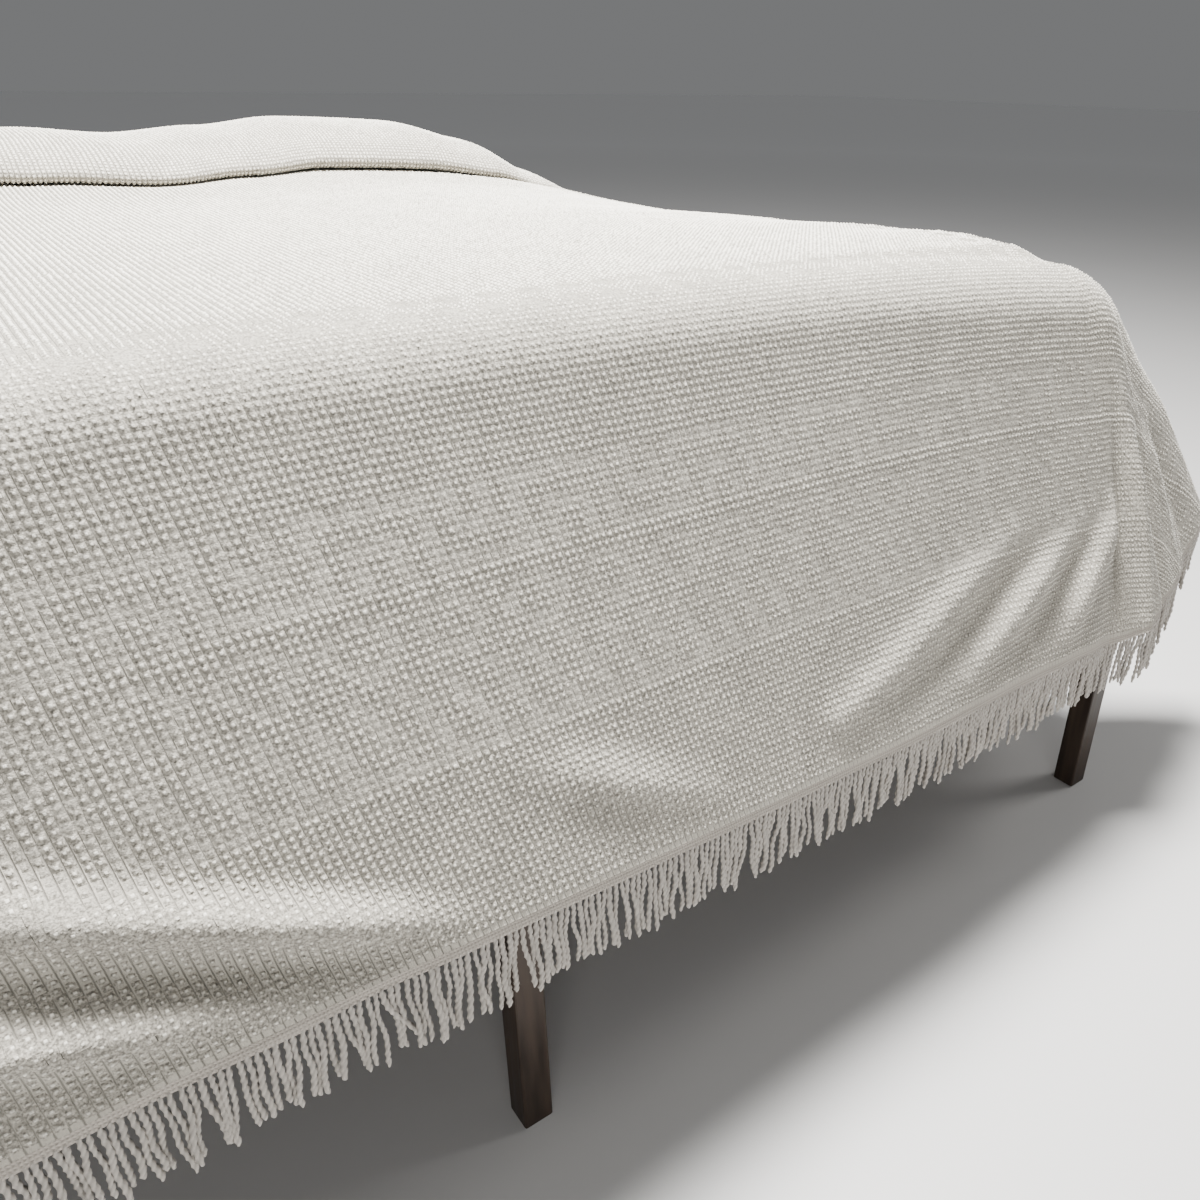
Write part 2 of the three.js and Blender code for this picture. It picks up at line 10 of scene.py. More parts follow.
import bpy
import numpy as np
from mathutils import Matrix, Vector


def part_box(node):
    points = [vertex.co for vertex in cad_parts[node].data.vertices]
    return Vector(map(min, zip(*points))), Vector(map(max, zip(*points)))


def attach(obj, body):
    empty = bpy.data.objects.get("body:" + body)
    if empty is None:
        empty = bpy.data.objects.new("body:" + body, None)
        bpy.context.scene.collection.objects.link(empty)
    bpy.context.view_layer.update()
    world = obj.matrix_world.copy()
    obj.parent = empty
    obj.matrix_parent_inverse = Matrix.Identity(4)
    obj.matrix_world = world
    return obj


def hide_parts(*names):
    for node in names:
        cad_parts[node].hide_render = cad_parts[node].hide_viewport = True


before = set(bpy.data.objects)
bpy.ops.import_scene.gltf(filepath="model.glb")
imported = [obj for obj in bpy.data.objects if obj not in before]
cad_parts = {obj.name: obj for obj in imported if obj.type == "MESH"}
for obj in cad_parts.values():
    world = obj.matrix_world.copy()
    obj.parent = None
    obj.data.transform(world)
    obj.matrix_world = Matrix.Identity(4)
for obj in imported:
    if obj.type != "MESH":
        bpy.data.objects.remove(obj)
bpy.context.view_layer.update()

MM = 0.001
BODY = "root"
SEED = 7


def lowest(name):
    """Lowest corner of a solid's box, in millimetres."""
    return np.array(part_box(name)[0]) / MM


def highest(name):
    """Highest corner of a solid's box, in millimetres."""
    return np.array(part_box(name)[1]) / MM


# Sizes of the cloth on the bed
CLOTH_GAP = 0.6
TOP = highest("mattress")[2] + CLOTH_GAP
DROP = 579
HALF_TOP = 891
FOOT_CREST = -936
TUCK = 340
CORNER_RUN = math.pi / 2 * DROP
SIDE_START = HALF_TOP + CORNER_RUN
EDGE_SLACK = 3
GROUND_LIFT = 0.3

# The woven repeat: distance between nubs across and along the cloth, and the nubs' own size
PITCH = np.array([7.4, 7.7])
NUB_HEIGHT = 3.0
NUB_LIFT = 0.35
HEM_MARGIN = 4

# The trim sewn to the hem. hang: how far the tape turns to plumb. lift, back: its faces off the hem. stitch,
# lines: size and rows of its stitches. turn: length of a cord's twist. root: its start inside the tape.
TAPE = dict(height=10, overlap=4, hang=0.35, lift=1.6, back=0.8, stitch=3.2, lines=3, step=7.0)
STRAND = dict(pitch=6.6, length=80, wide=3.0, thin=1.9, turn=17.5, root=2)


def table(columns, *rows):
    """A short table as one array for each named column."""
    return dict(zip(columns.split(), np.array(rows, float).T))


# How the cloth leaves the top, going round the hem from the left side to the right one.
# at: place along the hem, 0 at the middle of the foot. tilt: degrees from plumb. roll: radius of the turn.
RIM = table(
    "at tilt roll",
    (-SIDE_START, 17, 87),
    (-HALF_TOP - CORNER_RUN / 2, 32, 155),
    (-HALF_TOP, 28, 92),
    (-333, 29, 87),
    (279, 26, 87),
    (HALF_TOP, 22, 100),
    (HALF_TOP + 0.45 * CORNER_RUN, 24, 136),
    (HALF_TOP + 0.74 * CORNER_RUN, 36.5, 172),
    (SIDE_START, 17, 87),
)

# How far the top falls towards the bed's long edges, from the foot to the head
EDGE_FALL = table(
    "y fall",
    (FOOT_CREST, 33),
    (-868, 17),
    (-786, 13),
    (-640, 21),
    (-370, 38),
    (-130, 57),
    (160, 58),
    (470, 52),
    (1040, 40),
)

# Soft ridges (height above 0) and troughs of the drop, each along a line on the cloth.
# at0, down0: where the line starts, along the hem and down from the crest. at1, down1: where it ends.
FOLDS = table(
    "at0 down0 at1 down1 width height",
    # the foot, with slack ridges above the hem on the left and ripples fanning from the right corner
    (-615, 320, -270, 560, 24, 22),
    (-580, 392, -320, 573, 20, -9),
    (-620, 446, -405, 573, 20, 20),
    (-140, 440, 20, 550, 30, 9),
    (660, 385, 240, 530, 24, 11),
    (720, 410, 370, 545, 26, -7),
    (810, 400, 490, 550, 22, 14),
    (870, 400, 600, 573, 26, -8),
    (950, 360, 705, 573, 22, 15),
    # the right foot corner
    (1020, 270, 860, 573, 34, -10),
    (1110, 250, 1000, 573, 40, 15),
    (1230, 260, 1180, 573, 46, -12),
    (1340, 300, 1330, 573, 44, 12),
    (1430, 300, 1440, 573, 40, -12),
    (1580, 240, 1590, 573, 60, 18),
    (1710, 300, 1720, 573, 44, -10),
    # the left foot corner
    (-1010, 330, -960, 573, 48, -10),
    (-1120, 290, -1100, 573, 56, 18),
    (-1270, 300, -1265, 573, 54, -15),
    (-1400, 240, -1410, 573, 60, 24),
    (-1540, 300, -1550, 573, 54, -15),
    (-1660, 290, -1690, 573, 58, 18),
    # the long sides
    (2060, 180, 2090, 573, 88, 16),
    (2420, 240, 2390, 573, 80, 13),
    (2760, 160, 2790, 573, 92, 17),
    (3120, 200, 3140, 573, 76, 18),
    (3390, 180, 3370, 573, 70, 20),
    (3650, 200, 3670, 573, 76, 19),
    (-2030, 220, -2010, 573, 84, 15),
    (-2360, 170, -2390, 573, 90, 17),
    (-2730, 240, -2700, 573, 82, 13),
    (-3060, 190, -3090, 573, 78, 18),
    (-3350, 200, -3340, 573, 72, 20),
    (-3640, 180, -3660, 573, 78, 19),
)

# How folds grow down the drop, and along their own lines from a share of their height. Near the hem the tape
# holds those of the foot flatter. start: share of the drop. foot: share of the foot's half width.
FOLDS_GROW = 0.35 * DROP
FOLD_LEAD = dict(share=0.2, soon=2.5)
HEM_HOLDS = dict(start=0.84, share=0.9, foot=0.75)

# The cloth's path at the head: up to the tuck, back under itself, round the lip and over the pillow.
# back: behind the tuck's mouth. up: above the mattress.
HEAD_PATH = table(
    "back up",
    (-260, 0),
    (-150, 2),
    (-60, 8),
    (0, 13),
    (36, 15),
    (52, 19),
    (38, 23),
    (8, 21),
    (-10, 25),
    (-11, 39),
    (18, 64),
    (86, 88),
    (190, 98),
    (300, 96),
    (400, 80),
    (480, 52),
    (540, 22),
    (590, 6),
    (640, 1),
)

# How much of that path the cloth follows, from the gap between the pillows to the bed's edge, and how far the
# tuck is drawn forward there
PILLOW_SPAN = table(
    "x share forward",
    (0, 0.74, 190),
    (160, 0.84, 100),
    (340, 1, 0),
    (560, 1, 0),
    (690, 0.79, 40),
    (800, 0.34, 90),
    (HALF_TOP, 0, 110),
)
FORWARD_START = 300

# The cloth's own pull: columns lean right over the left of the foot, slack gathers above the hem there, and
# the drop sags inward
SKEW = dict(lean=0.138, full_at=HALF_TOP - 1000, fade_from=-350)
GATHER = dict(slack=34, start=371, full=-560, fade_from=-800, start_down=0.7)
SAG = dict(inward=12.6, down=0.3)


def ease(t):
    k = np.clip(t, 0, 1)
    return k * k * (3 - 2 * k)


def eased(rows, key, name, at):
    """Value of one column of a table at each place, eased from row to row."""
    stops, values = rows[key], rows[name]
    i = np.clip(np.searchsorted(stops, at) - 1, 0, len(stops) - 2)
    t = ease((at - stops[i]) / (stops[i + 1] - stops[i]))
    return values[i] + (values[i + 1] - values[i]) * t


# Rows of the head path before the tuck, at its mouth, at its lip and past it, and points from row to row
HEAD_ROWS = dict(before=2, mouth=3, lip=7, past=11)
HEAD_STEPS = 16


def head_line():
    """The head path as a smooth line through its rows, with the length along it."""
    knots = np.column_stack([HEAD_PATH["back"], HEAD_PATH["up"]])
    padded = np.vstack([knots[:1], knots, knots[-1:]])
    t = np.arange(HEAD_STEPS)[:, None] / HEAD_STEPS
    spans = []
    for before, start, end, after in zip(padded, padded[1:], padded[2:], padded[3:]):
        leave = (end - before) / 2
        arrive = (after - start) / 2
        square = 3 * (end - start) - 2 * leave - arrive
        cube = 2 * (start - end) + leave + arrive
        spans.append(start + leave * t + square * t**2 + cube * t**3)
    points = np.vstack([*spans, knots[-1:]])
    return points, np.r_[0, np.cumsum(np.hypot(*np.diff(points, axis=0).T))]


HEAD_POINTS, HEAD_LENGTHS = head_line()
HEAD_LENGTH = HEAD_LENGTHS[-1]
HEAD_FIRST = HEAD_PATH["back"][0]
HEAD_RUN = HEAD_PATH["back"][-1] - HEAD_FIRST
HEAD_START = TUCK + HEAD_FIRST - FOOT_CREST
CLOTH_END = HEAD_START + HEAD_LENGTH


def head_length(row):
    """Length along the head path up to one of its named rows."""
    return HEAD_LENGTHS[HEAD_ROWS[row] * HEAD_STEPS]


MOUTH, LIP = head_length("mouth"), head_length("lip")


def edge_fall(x, y, slack=0):
    return (eased(EDGE_FALL, "y", "fall", y) + slack) * (np.minimum(np.abs(x), HALF_TOP) / HALF_TOP) ** 3


def top_point(u, v):
    """y and z of the cloth on top of the bed."""
    along = np.clip(v - HEAD_START, 0, HEAD_LENGTH)
    at_head = v > HEAD_START
    share = np.where(at_head, eased(PILLOW_SPAN, "x", "share", np.abs(u)), 0)
    back = np.interp(along, HEAD_LENGTHS, HEAD_POINTS[:, 0])
    up = np.interp(along, HEAD_LENGTHS, HEAD_POINTS[:, 1])
    plain = np.where(at_head, TUCK + HEAD_FIRST + along / HEAD_LENGTH * HEAD_RUN, FOOT_CREST + v)
    before_lip = ease((v - FORWARD_START) / (HEAD_START + LIP - FORWARD_START))
    past_lip = ease((v - HEAD_START - LIP) / (HEAD_LENGTH - LIP))
    drawn = eased(PILLOW_SPAN, "x", "forward", np.abs(u)) * before_lip * (1 - past_lip)
    y = plain + (TUCK + back - plain) * share - drawn
    return y, TOP - edge_fall(u, y) + share * up


def fold_height(at, down):
    """Height of all folds at a place along the hem and down from the crest."""
    height = np.zeros_like(at)
    for at0, down0, at1, down1, width, rise in zip(*FOLDS.values()):
        run, fall = at1 - at0, down1 - down0
        t = np.clip(((at - at0) * run + (down - down0) * fall) / (run**2 + fall**2), 0, 1)
        away = np.hypot(at - at0 - t * run, down - down0 - t * fall) / width
        grown = FOLD_LEAD["share"] + (1 - FOLD_LEAD["share"]) * ease(FOLD_LEAD["soon"] * t)
        height += rise * np.exp(-(away**2)) * grown
    foot = HEM_HOLDS["foot"]
    at_foot = 1 - ease((np.abs(at) - foot * HALF_TOP) / ((1 - foot) * HALF_TOP))
    near_hem = ease((down / DROP - HEM_HOLDS["start"]) / (1 - HEM_HOLDS["start"]))
    return height * ease(down / FOLDS_GROW) * (1 - HEM_HOLDS["share"] * at_foot * near_hem)


def off_top(u, v):
    """Where a place leaves the flat top, how far past its edge it is, and its place along the hem."""
    top_u, top_v = np.clip(u, -HALF_TOP, HALF_TOP), np.maximum(v, 0)
    out_u, out_v = u - top_u, v - top_v
    down = np.hypot(out_u, out_v)
    turn = np.where(out_v == 0, math.pi / 2, np.arctan2(np.abs(out_u), -out_v))
    at = np.where(turn > 0, np.sign(top_u) * (HALF_TOP + turn * DROP + top_v), top_u)
    return top_u, top_v, out_u, out_v, down, at


def drape(u, v):
    """Where places of the flat cloth lie on the bed. Past the top's edge it rolls over and leans out."""
    u, v = np.broadcast_arrays(np.asarray(u, float), np.asarray(v, float))
    top_u, top_v, out_u, out_v, down, at = off_top(u, v)
    y, z = top_point(top_u, top_v)
    slope = np.radians(90 - eased(RIM, "at", "tilt", at))
    roll = eased(RIM, "at", "roll", at)
    slack_at = ease((GATHER["start"] - at) / (GATHER["start"] - GATHER["full"]))
    slack_fade = 1 - ease((GATHER["fade_from"] - at) / (HALF_TOP + GATHER["fade_from"]))
    slack_down = np.clip((down / DROP - GATHER["start_down"]) / (1 - GATHER["start_down"]), 0, 1)
    length = down - GATHER["slack"] * slack_at * slack_fade * slack_down
    bend = np.minimum(length / roll, slope)
    straight = np.maximum(length - roll * slope, 0)
    sag = SAG["inward"] * (down / DROP) ** 2
    fold = fold_height(at, down)
    reach = roll * np.sin(bend) + straight * np.cos(slope) - sag + fold * np.sin(bend)
    fall = roll * (1 - np.cos(bend)) + straight * np.sin(slope) + SAG["down"] * sag - fold * np.cos(bend)
    lean_right = ease((HALF_TOP - u) / (HALF_TOP - SKEW["full_at"]))
    lean_left = 1 - ease((SKEW["fade_from"] - u) / (HALF_TOP + SKEW["fade_from"]))
    share = np.where(down > 0, 1 / np.maximum(down, 1e-9), 0)
    x = top_u + out_u * share * reach + SKEW["lean"] * down * lean_right * lean_left
    return np.stack([x, y + out_v * share * reach, z - np.where(down > 0, fall, 0)], -1)


def unit(vectors):
    return vectors / np.linalg.norm(vectors, axis=-1, keepdims=True)


# Half the step that measures the cloth's slopes
DIFFERENCE = 0.5


def cloth_frame(u, v):
    """The place of each point, with a millimetre's step across and along the cloth there, and its front."""
    across = (drape(u + DIFFERENCE, v) - drape(u - DIFFERENCE, v)) / (2 * DIFFERENCE)
    along = (drape(u, v + DIFFERENCE) - drape(u, v - DIFFERENCE)) / (2 * DIFFERENCE)
    return drape(u, v), across, along, unit(np.cross(across, along))


def grid_quads(grid):
    """Four-cornered faces between the neighbours in a grid of point numbers."""
    return np.stack([grid[:-1, :-1], grid[1:, :-1], grid[1:, 1:], grid[:-1, 1:]], -1).reshape(-1, 4)


def mesh_piece(name, points, faces, material, uv=None, values=None):
    """A smooth mesh of points in millimetres and arrays of three- or four-cornered faces."""
    mesh = bpy.data.meshes.new(name)
    corners = np.concatenate([f.ravel() for f in faces])
    sizes = np.concatenate([np.full(len(f), f.shape[1]) for f in faces])
    mesh.vertices.add(len(points))
    mesh.vertices.foreach_set("co", (points * MM).astype(np.float32).ravel())
    mesh.loops.add(len(corners))
    mesh.loops.foreach_set("vertex_index", corners.astype(np.int32))
    mesh.polygons.add(len(sizes))
    mesh.polygons.foreach_set("loop_start", np.r_[0, np.cumsum(sizes)[:-1]].astype(np.int32))
    mesh.polygons.foreach_set("use_smooth", np.ones(len(sizes), bool))
    mesh.update(calc_edges=True)
    if uv is not None:
        layer = mesh.uv_layers.new(name="flat")
        layer.data.foreach_set("uv", uv[corners].astype(np.float32).ravel())
    for key, column in (values or {}).items():
        field = mesh.attributes.new(key, "FLOAT", "POINT")
        field.data.foreach_set("value", column.astype(np.float32))
    mesh.materials.append(material)
    piece = bpy.data.objects.new(name, mesh)
    bpy.context.scene.collection.objects.link(piece)
    return piece


# Values all materials share, ribs to a column of nubs, and a wave texture's length at scale 1
NOISE_ROUGHNESS = 0.55
SPECULAR = 0.25
RIBS = 4.0
WAVE_LENGTH = math.pi / 10


def node(tree, kind, inputs=None, **settings):
    """Adds a shader node. An input is a value, or the socket that feeds it."""
    made = tree.nodes.new(kind)
    for key, value in settings.items():
        setattr(made, key, value)
    for key, value in (inputs or {}).items():
        if isinstance(value, bpy.types.NodeSocket):
            tree.links.new(value, made.inputs[key])
        else:
            made.inputs[key].default_value = value
    return made


def maths(tree, operation, first, second):
    return node(tree, "ShaderNodeMath", {0: first, 1: second}, operation=operation).outputs[0]


def mixed(tree, share, first, second):
    """Colour between two others."""
    mix = node(tree, "ShaderNodeMix", {0: share, 6: first, 7: second}, data_type="RGBA")
    return mix.outputs[2]


def fitted(tree, value, low, high, to_low=0, to_high=1):
    """A value taken from one range to another, held at its ends."""
    limits = {"From Min": low, "From Max": high, "To Min": to_low, "To Max": to_high}
    return node(tree, "ShaderNodeMapRange", {"Value": value, **limits}).outputs[0]


def noise(tree, size, detail=2.0, vector=None):
    """Noise with lumps of about the given size in metres."""
    if vector is None:
        vector = node(tree, "ShaderNodeTexCoord").outputs["Object"]
    settings = {"Vector": vector, "Scale": 1 / size, "Detail": detail, "Roughness": NOISE_ROUGHNESS}
    return node(tree, "ShaderNodeTexNoise", settings).outputs["Fac"]


def attribute(tree, name):
    return node(tree, "ShaderNodeAttribute", attribute_name=name).outputs["Fac"]


def shaded(colour, by=1.0):
    return (*[c * by for c in colour], 1.0)


def new_material(name, roughness, sheen=0.0):
    material = bpy.data.materials.new(name)
    material.use_nodes = True
    shader = material.node_tree.nodes["Principled BSDF"]
    shader.inputs["Roughness"].default_value = roughness
    shader.inputs["Sheen Weight"].default_value = sheen
    shader.inputs["Specular IOR Level"].default_value = SPECULAR
    return material, material.node_tree, shader


def bump(tree, shader, height, distance, strength=1.0):
    settings = {"Height": height, "Distance": distance, "Strength": strength}
    made = node(tree, "ShaderNodeBump", settings)
    tree.links.new(made.outputs[0], shader.inputs["Normal"])


# Colours of the yarns, of the bed's covers and of its wood
COTTON = (0.92, 0.885, 0.79)
# GROUND is darker than COTTON partly by the ground yarn's own tone and partly as painted shade between the
# nubs
GROUND = (0.66, 0.62, 0.535)
TRIM = (0.45, 0.41, 0.36)
CORD = (0.50, 0.465, 0.42)
TICKING = (0.78, 0.77, 0.74)
COVER = (0.47, 0.44, 0.39)
DARK_GRAIN = (0.021, 0.014, 0.010)
LIGHT_GRAIN = (0.052, 0.035, 0.025)


def nub_cotton():
    """Soft pile yarn: a pale tip on each nub, painted shade speckled down its flanks, a little uneven."""
    material, tree, shader = new_material("nub_cotton", roughness=0.92, sheen=0.15)
    rise = attribute(tree, "rise")
    patch = fitted(tree, noise(tree, size=0.05, detail=4.0), 0.3, 0.7, 0.9, 1.06)
    speck = fitted(tree, noise(tree, size=0.002, detail=2.0), 0.36, 0.64)
    tip = fitted(tree, rise, 0.34, 0.62)
    # Painted shade: the flanks take 0.3 to 0.8 of GROUND, speckled, below each nub's pale tip
    painted_flank_shade = mixed(tree, speck, shaded(GROUND, 0.3), shaded(GROUND, 0.8))
    fleck = fitted(tree, noise(tree, size=0.011, detail=1.0), 0.35, 0.65)
    pale = mixed(tree, fleck, shaded(COTTON, 0.94), shaded(COTTON))
    colour = mixed(tree, tip, painted_flank_shade, pale)
    shade = node(tree, "ShaderNodeVectorMath", {0: colour, "Scale": patch}, operation="SCALE").outputs[0]
    tree.links.new(shade, shader.inputs["Base Color"])
    bump(tree, shader, noise(tree, size=0.0016, detail=3.0), distance=0.001)
    return material


def ground_cotton():
    """The woven ground: fine ribs between the nubs, with a groove between their columns, darkened as painted
    shade.
    """
    material, tree, shader = new_material("ground_cotton", roughness=0.95, sheen=0.1)
    place = node(tree, "ShaderNodeUVMap", uv_map="flat").outputs[0]
    split = node(tree, "ShaderNodeSeparateXYZ", {0: place})
    column = maths(tree, "PINGPONG", split.outputs[0], 0.5)
    row = maths(tree, "PINGPONG", split.outputs[1], 0.5)
    rib = maths(tree, "PINGPONG", maths(tree, "MULTIPLY", split.outputs[0], RIBS), 0.5)
    groove = fitted(tree, column, 0.4, 0.5, 1.0, 0.0)
    patch = noise(tree, size=0.12, detail=3.0)
    # Painted shade: the groove between columns takes 0.4 of GROUND, the rest 0.75
    colour = mixed(tree, groove, shaded(GROUND, 0.4), shaded(GROUND, 0.75))
    colour = mixed(tree, fitted(tree, patch, 0.35, 0.65, 0, 0.3), colour, shaded(GROUND, 0.75))
    tree.links.new(colour, shader.inputs["Base Color"])
    height = maths(tree, "ADD", maths(tree, "MULTIPLY", groove, 1.2), maths(tree, "MULTIPLY", rib, 0.7))
    height = maths(tree, "ADD", height, maths(tree, "MULTIPLY", row, 0.6))
    height = maths(tree, "ADD", height, maths(tree, "MULTIPLY", noise(tree, size=0.002), 0.8))
    bump(tree, shader, height, distance=0.0009)
    return material


def tape_cotton():
    """The trim's flat heading: rows of small chain stitches along it, with painted shade in their low parts.
    """
    material, tree, shader = new_material("tape_cotton", roughness=0.9, sheen=0.1)
    place = node(tree, "ShaderNodeUVMap", uv_map="flat").outputs[0]
    split = node(tree, "ShaderNodeSeparateXYZ", {0: place})
    line = maths(tree, "PINGPONG", split.outputs[1], 0.5)
    slant = maths(tree, "ADD", split.outputs[0], maths(tree, "MULTIPLY", line, 0.9))
    stitch = maths(tree, "PINGPONG", slant, 0.5)
    height = maths(tree, "ADD", maths(tree, "MULTIPLY", line, 1.2), maths(tree, "MULTIPLY", stitch, 1.2))
    # Painted shade in the low parts of the stitch rows, and painted light on their raised parts
    colour = mixed(tree, fitted(tree, height, 0.1, 1.0), shaded(TRIM, 0.65), shaded(TRIM, 1.1))
    tree.links.new(colour, shader.inputs["Base Color"])
    bump(tree, shader, maths(tree, "ADD", height, noise(tree, size=0.0015)), distance=0.0006)
    return material


def cord_cotton():
    """Two-ply twisted cord: painted shade where the plies meet, fuzzy all over."""
    material, tree, shader = new_material("cord_cotton", roughness=0.92, sheen=0.2)
    ply = attribute(tree, "ply")
    tuft = noise(tree, size=0.02, detail=2.0)
    light = mixed(tree, fitted(tree, tuft, 0.35, 0.65), shaded(CORD, 0.92), shaded(CORD, 1.05))
    # Painted shade: where the plies meet (ply 0) the cord takes 0.6 of CORD
    colour = mixed(tree, fitted(tree, ply, 0.0, 0.8), shaded(CORD, 0.6), light)
    tree.links.new(colour, shader.inputs["Base Color"])
    bump(tree, shader, noise(tree, size=0.0013, detail=3.0), distance=0.0007, strength=0.8)
    return material


def plain_cloth(name, colour, thread):
    """Plain woven cover cloth of the bed's own pieces."""
    material, tree, shader = new_material(name, roughness=0.88, sheen=0.1)
    place = node(tree, "ShaderNodeTexCoord").outputs["Object"]
    wave = {"Vector": place, "Scale": WAVE_LENGTH / thread, "Distortion": 0.6}
    weft = node(tree, "ShaderNodeTexWave", wave, bands_direction="Z").outputs["Fac"]
    warp = node(tree, "ShaderNodeTexWave", wave, bands_direction="X").outputs["Fac"]
    weave = maths(tree, "ADD", weft, warp)
    patch = fitted(tree, noise(tree, size=0.15, detail=4.0), 0.3, 0.7)
    shade = mixed(tree, patch, shaded(colour, 0.9), shaded(colour))
    colour_out = mixed(tree, fitted(tree, weave, 0.2, 1.4, 0.25, 0), shade, shaded(colour, 0.7))
    tree.links.new(colour_out, shader.inputs["Base Color"])
    bump(tree, shader, weave, distance=0.0005, strength=0.6)
    return material


def dark_wood():
    """Very dark stained wood with a long grain and slightly worn edges."""
    material, tree, shader = new_material("dark_wood", roughness=0.42)
    place = node(tree, "ShaderNodeTexCoord").outputs["Object"]
    long = node(tree, "ShaderNodeMapping", {"Vector": place, "Scale": (1.0, 1.0, 0.09)}).outputs[0]
    grain = noise(tree, size=0.012, detail=6.0, vector=long)
    colour = mixed(tree, fitted(tree, grain, 0.35, 0.7), shaded(DARK_GRAIN), shaded(LIGHT_GRAIN))
    tree.links.new(colour, shader.inputs["Base Color"])
    rough = fitted(tree, grain, 0.3, 0.7, 0.36, 0.52)
    tree.links.new(rough, shader.inputs["Roughness"])
    bump(tree, shader, grain, distance=0.0006, strength=0.4)
    return material


# The sheet's net: how many lines it has across the top, round a corner, in each stretch along the top and in
# the drop. They are closer at the crest, at the tuck and below UPPER_DROP.
NET = dict(across=176, corner=64, flat=32, lead=8, tuck=34, hump=24, upper=20, lower=32)
UPPER_DROP = 350
CREST_ROWS = 8
CREST_LENGTH = 100


def net_rows():
    """Places along the cloth where the net has a line, closest at the crest and round the tuck."""
    lead_end = HEAD_START + head_length("before")
    tuck_end = HEAD_START + head_length("past")
    pieces = [
        np.linspace(0, CREST_LENGTH, CREST_ROWS, endpoint=False),
        np.linspace(CREST_LENGTH, HEAD_START, NET["flat"], endpoint=False),
        np.linspace(HEAD_START, lead_end, NET["lead"], endpoint=False),
        np.linspace(lead_end, tuck_end, NET["tuck"], endpoint=False),
        np.linspace(tuck_end, CLOTH_END, NET["hump"]),
    ]
    return np.concatenate(pieces)


def rim_columns(across, along):
    """Columns of the drop round the hem: index of their start on the top, and direction."""
    count = len(along)
    last = (len(across) - 1) * count
    turns = np.linspace(0, math.pi / 2, NET["corner"] + 1)
    ones = np.ones(len(turns), int)
    foot = np.arange(1, len(across) - 1) * count
    up = np.arange(1, count)
    start = np.concatenate([up[::-1], 0 * ones, foot, last * ones, last + up])
    flat, edge = np.zeros(len(foot)), np.zeros(len(up))
    dir_u = np.concatenate([edge - 1, -np.sin(turns)[::-1], flat, np.sin(turns), edge + 1])
    dir_v = np.concatenate([edge, -np.cos(turns)[::-1], flat - 1, -np.cos(turns), edge])
    return start, dir_u, dir_v


def spread_sheet(material):
    """The cloth itself, one sheet from hem to hem."""
    across = np.linspace(-HALF_TOP, HALF_TOP, NET["across"] + 1)
    along = net_rows()
    lower = np.linspace(UPPER_DROP, DROP, NET["lower"])
    down = np.r_[np.linspace(0, UPPER_DROP, NET["upper"], endpoint=False)[1:], lower]
    flat = np.stack(np.meshgrid(across, along, indexing="ij"), -1).reshape(-1, 2)
    start, dir_u, dir_v = rim_columns(across, along)
    hanging = flat[start][:, None] + down[None, :, None] * np.stack([dir_u, dir_v], -1)[:, None]
    grid = np.arange(len(flat)).reshape(len(across), len(along))
    below = len(flat) + np.arange(len(start) * len(down)).reshape(len(start), len(down))
    lines = np.column_stack([start, below])
    drop = np.stack([lines[1:, :-1], lines[:-1, :-1], lines[:-1, 1:], lines[1:, 1:]], -1).reshape(-1, 4)
    closed = drop[:, 0] == drop[:, 1]
    cut = np.vstack([flat, hanging.reshape(-1, 2)])
    points, _, _, out = cloth_frame(cut[:, 0], cut[:, 1])
    faces = [grid_quads(grid), drop[~closed], drop[closed][:, [0, 2, 3]]]
    return mesh_piece("spread_sheet", points + GROUND_LIFT * out, faces, material, uv=cut / PITCH)


# The woven figure that frames the bed's top, in charts: # is a raised nub and . a low one. A chart
# starts at a line down from the top's edge and repeats along the cloth. deep: rows of nubs to each line.
KEY = dict(first=23, deep=2, shift=5)
KEY["lines"] = (
    ".............##..##..##..",
    "###########..##..##..##..",
    "##.......##..##......##..",
    "##..###..##..##########..",
    "##..###..##..............",
)
LOZENGES = dict(first=-6, deep=1, shift=2)
LOZENGES["lines"] = (
    "##..##",
    "#....#",
    "#....#",
    "##..##",
    "######",
    "######",
    ".####.",
    "..##..",
    "..##..",
    ".####.",
    "######",
)
OVALS = dict(first=35, deep=1, shift=3)
OVALS["lines"] = (
    "###.....###",
    "##..###..##",
    "#..#####..#",
    "#..#####..#",
    "##..###..##",
    "###.....###",
    "####...####",
)
STROKES = dict(first=43, last=50, pitch=5.5, wide=3.2, lean=0.4)
LOW_LINES = (51, 52)
BOLD_LINES = (33, 34, 53)
EDGE_COLUMNS = int(HALF_TOP / PITCH[0])
NUB_SHARES = dict(plain=0.9, bold=1.1, low=0.55)

# Nubs below a share of the full height turn to one even tone, not the painted ramp from shaded flanks to pale
# tip
LOW_NUB = dict(below=0.75, over=0.25, tone=0.365)

# How uneven nubs are: their place in millimetres, the rest as shares of their own size
NUB_UNEVEN = dict(across=0.25, along=0.4, height=0.1, width=0.05, tip=0.06)

# How far a nub may stretch with the cloth. Cloth bunched to less than 1 / spare of its area presses it down.
NUB_STRETCH = (0.3, 1.6)
BUNCHED = dict(spare=1.6, least=0.4)


def charted(chart, line, place):
    """Whether each nub lies in a chart's band, and whether it is raised there."""
    marks = np.array([list(text) for text in chart["lines"]]) == "#"
    depth = (line - chart["first"]) // chart["deep"]
    inside = (depth >= 0) & (depth < len(marks))
    return inside, marks[np.where(inside, depth, 0), np.mod(place + chart["shift"], marks.shape[1])]


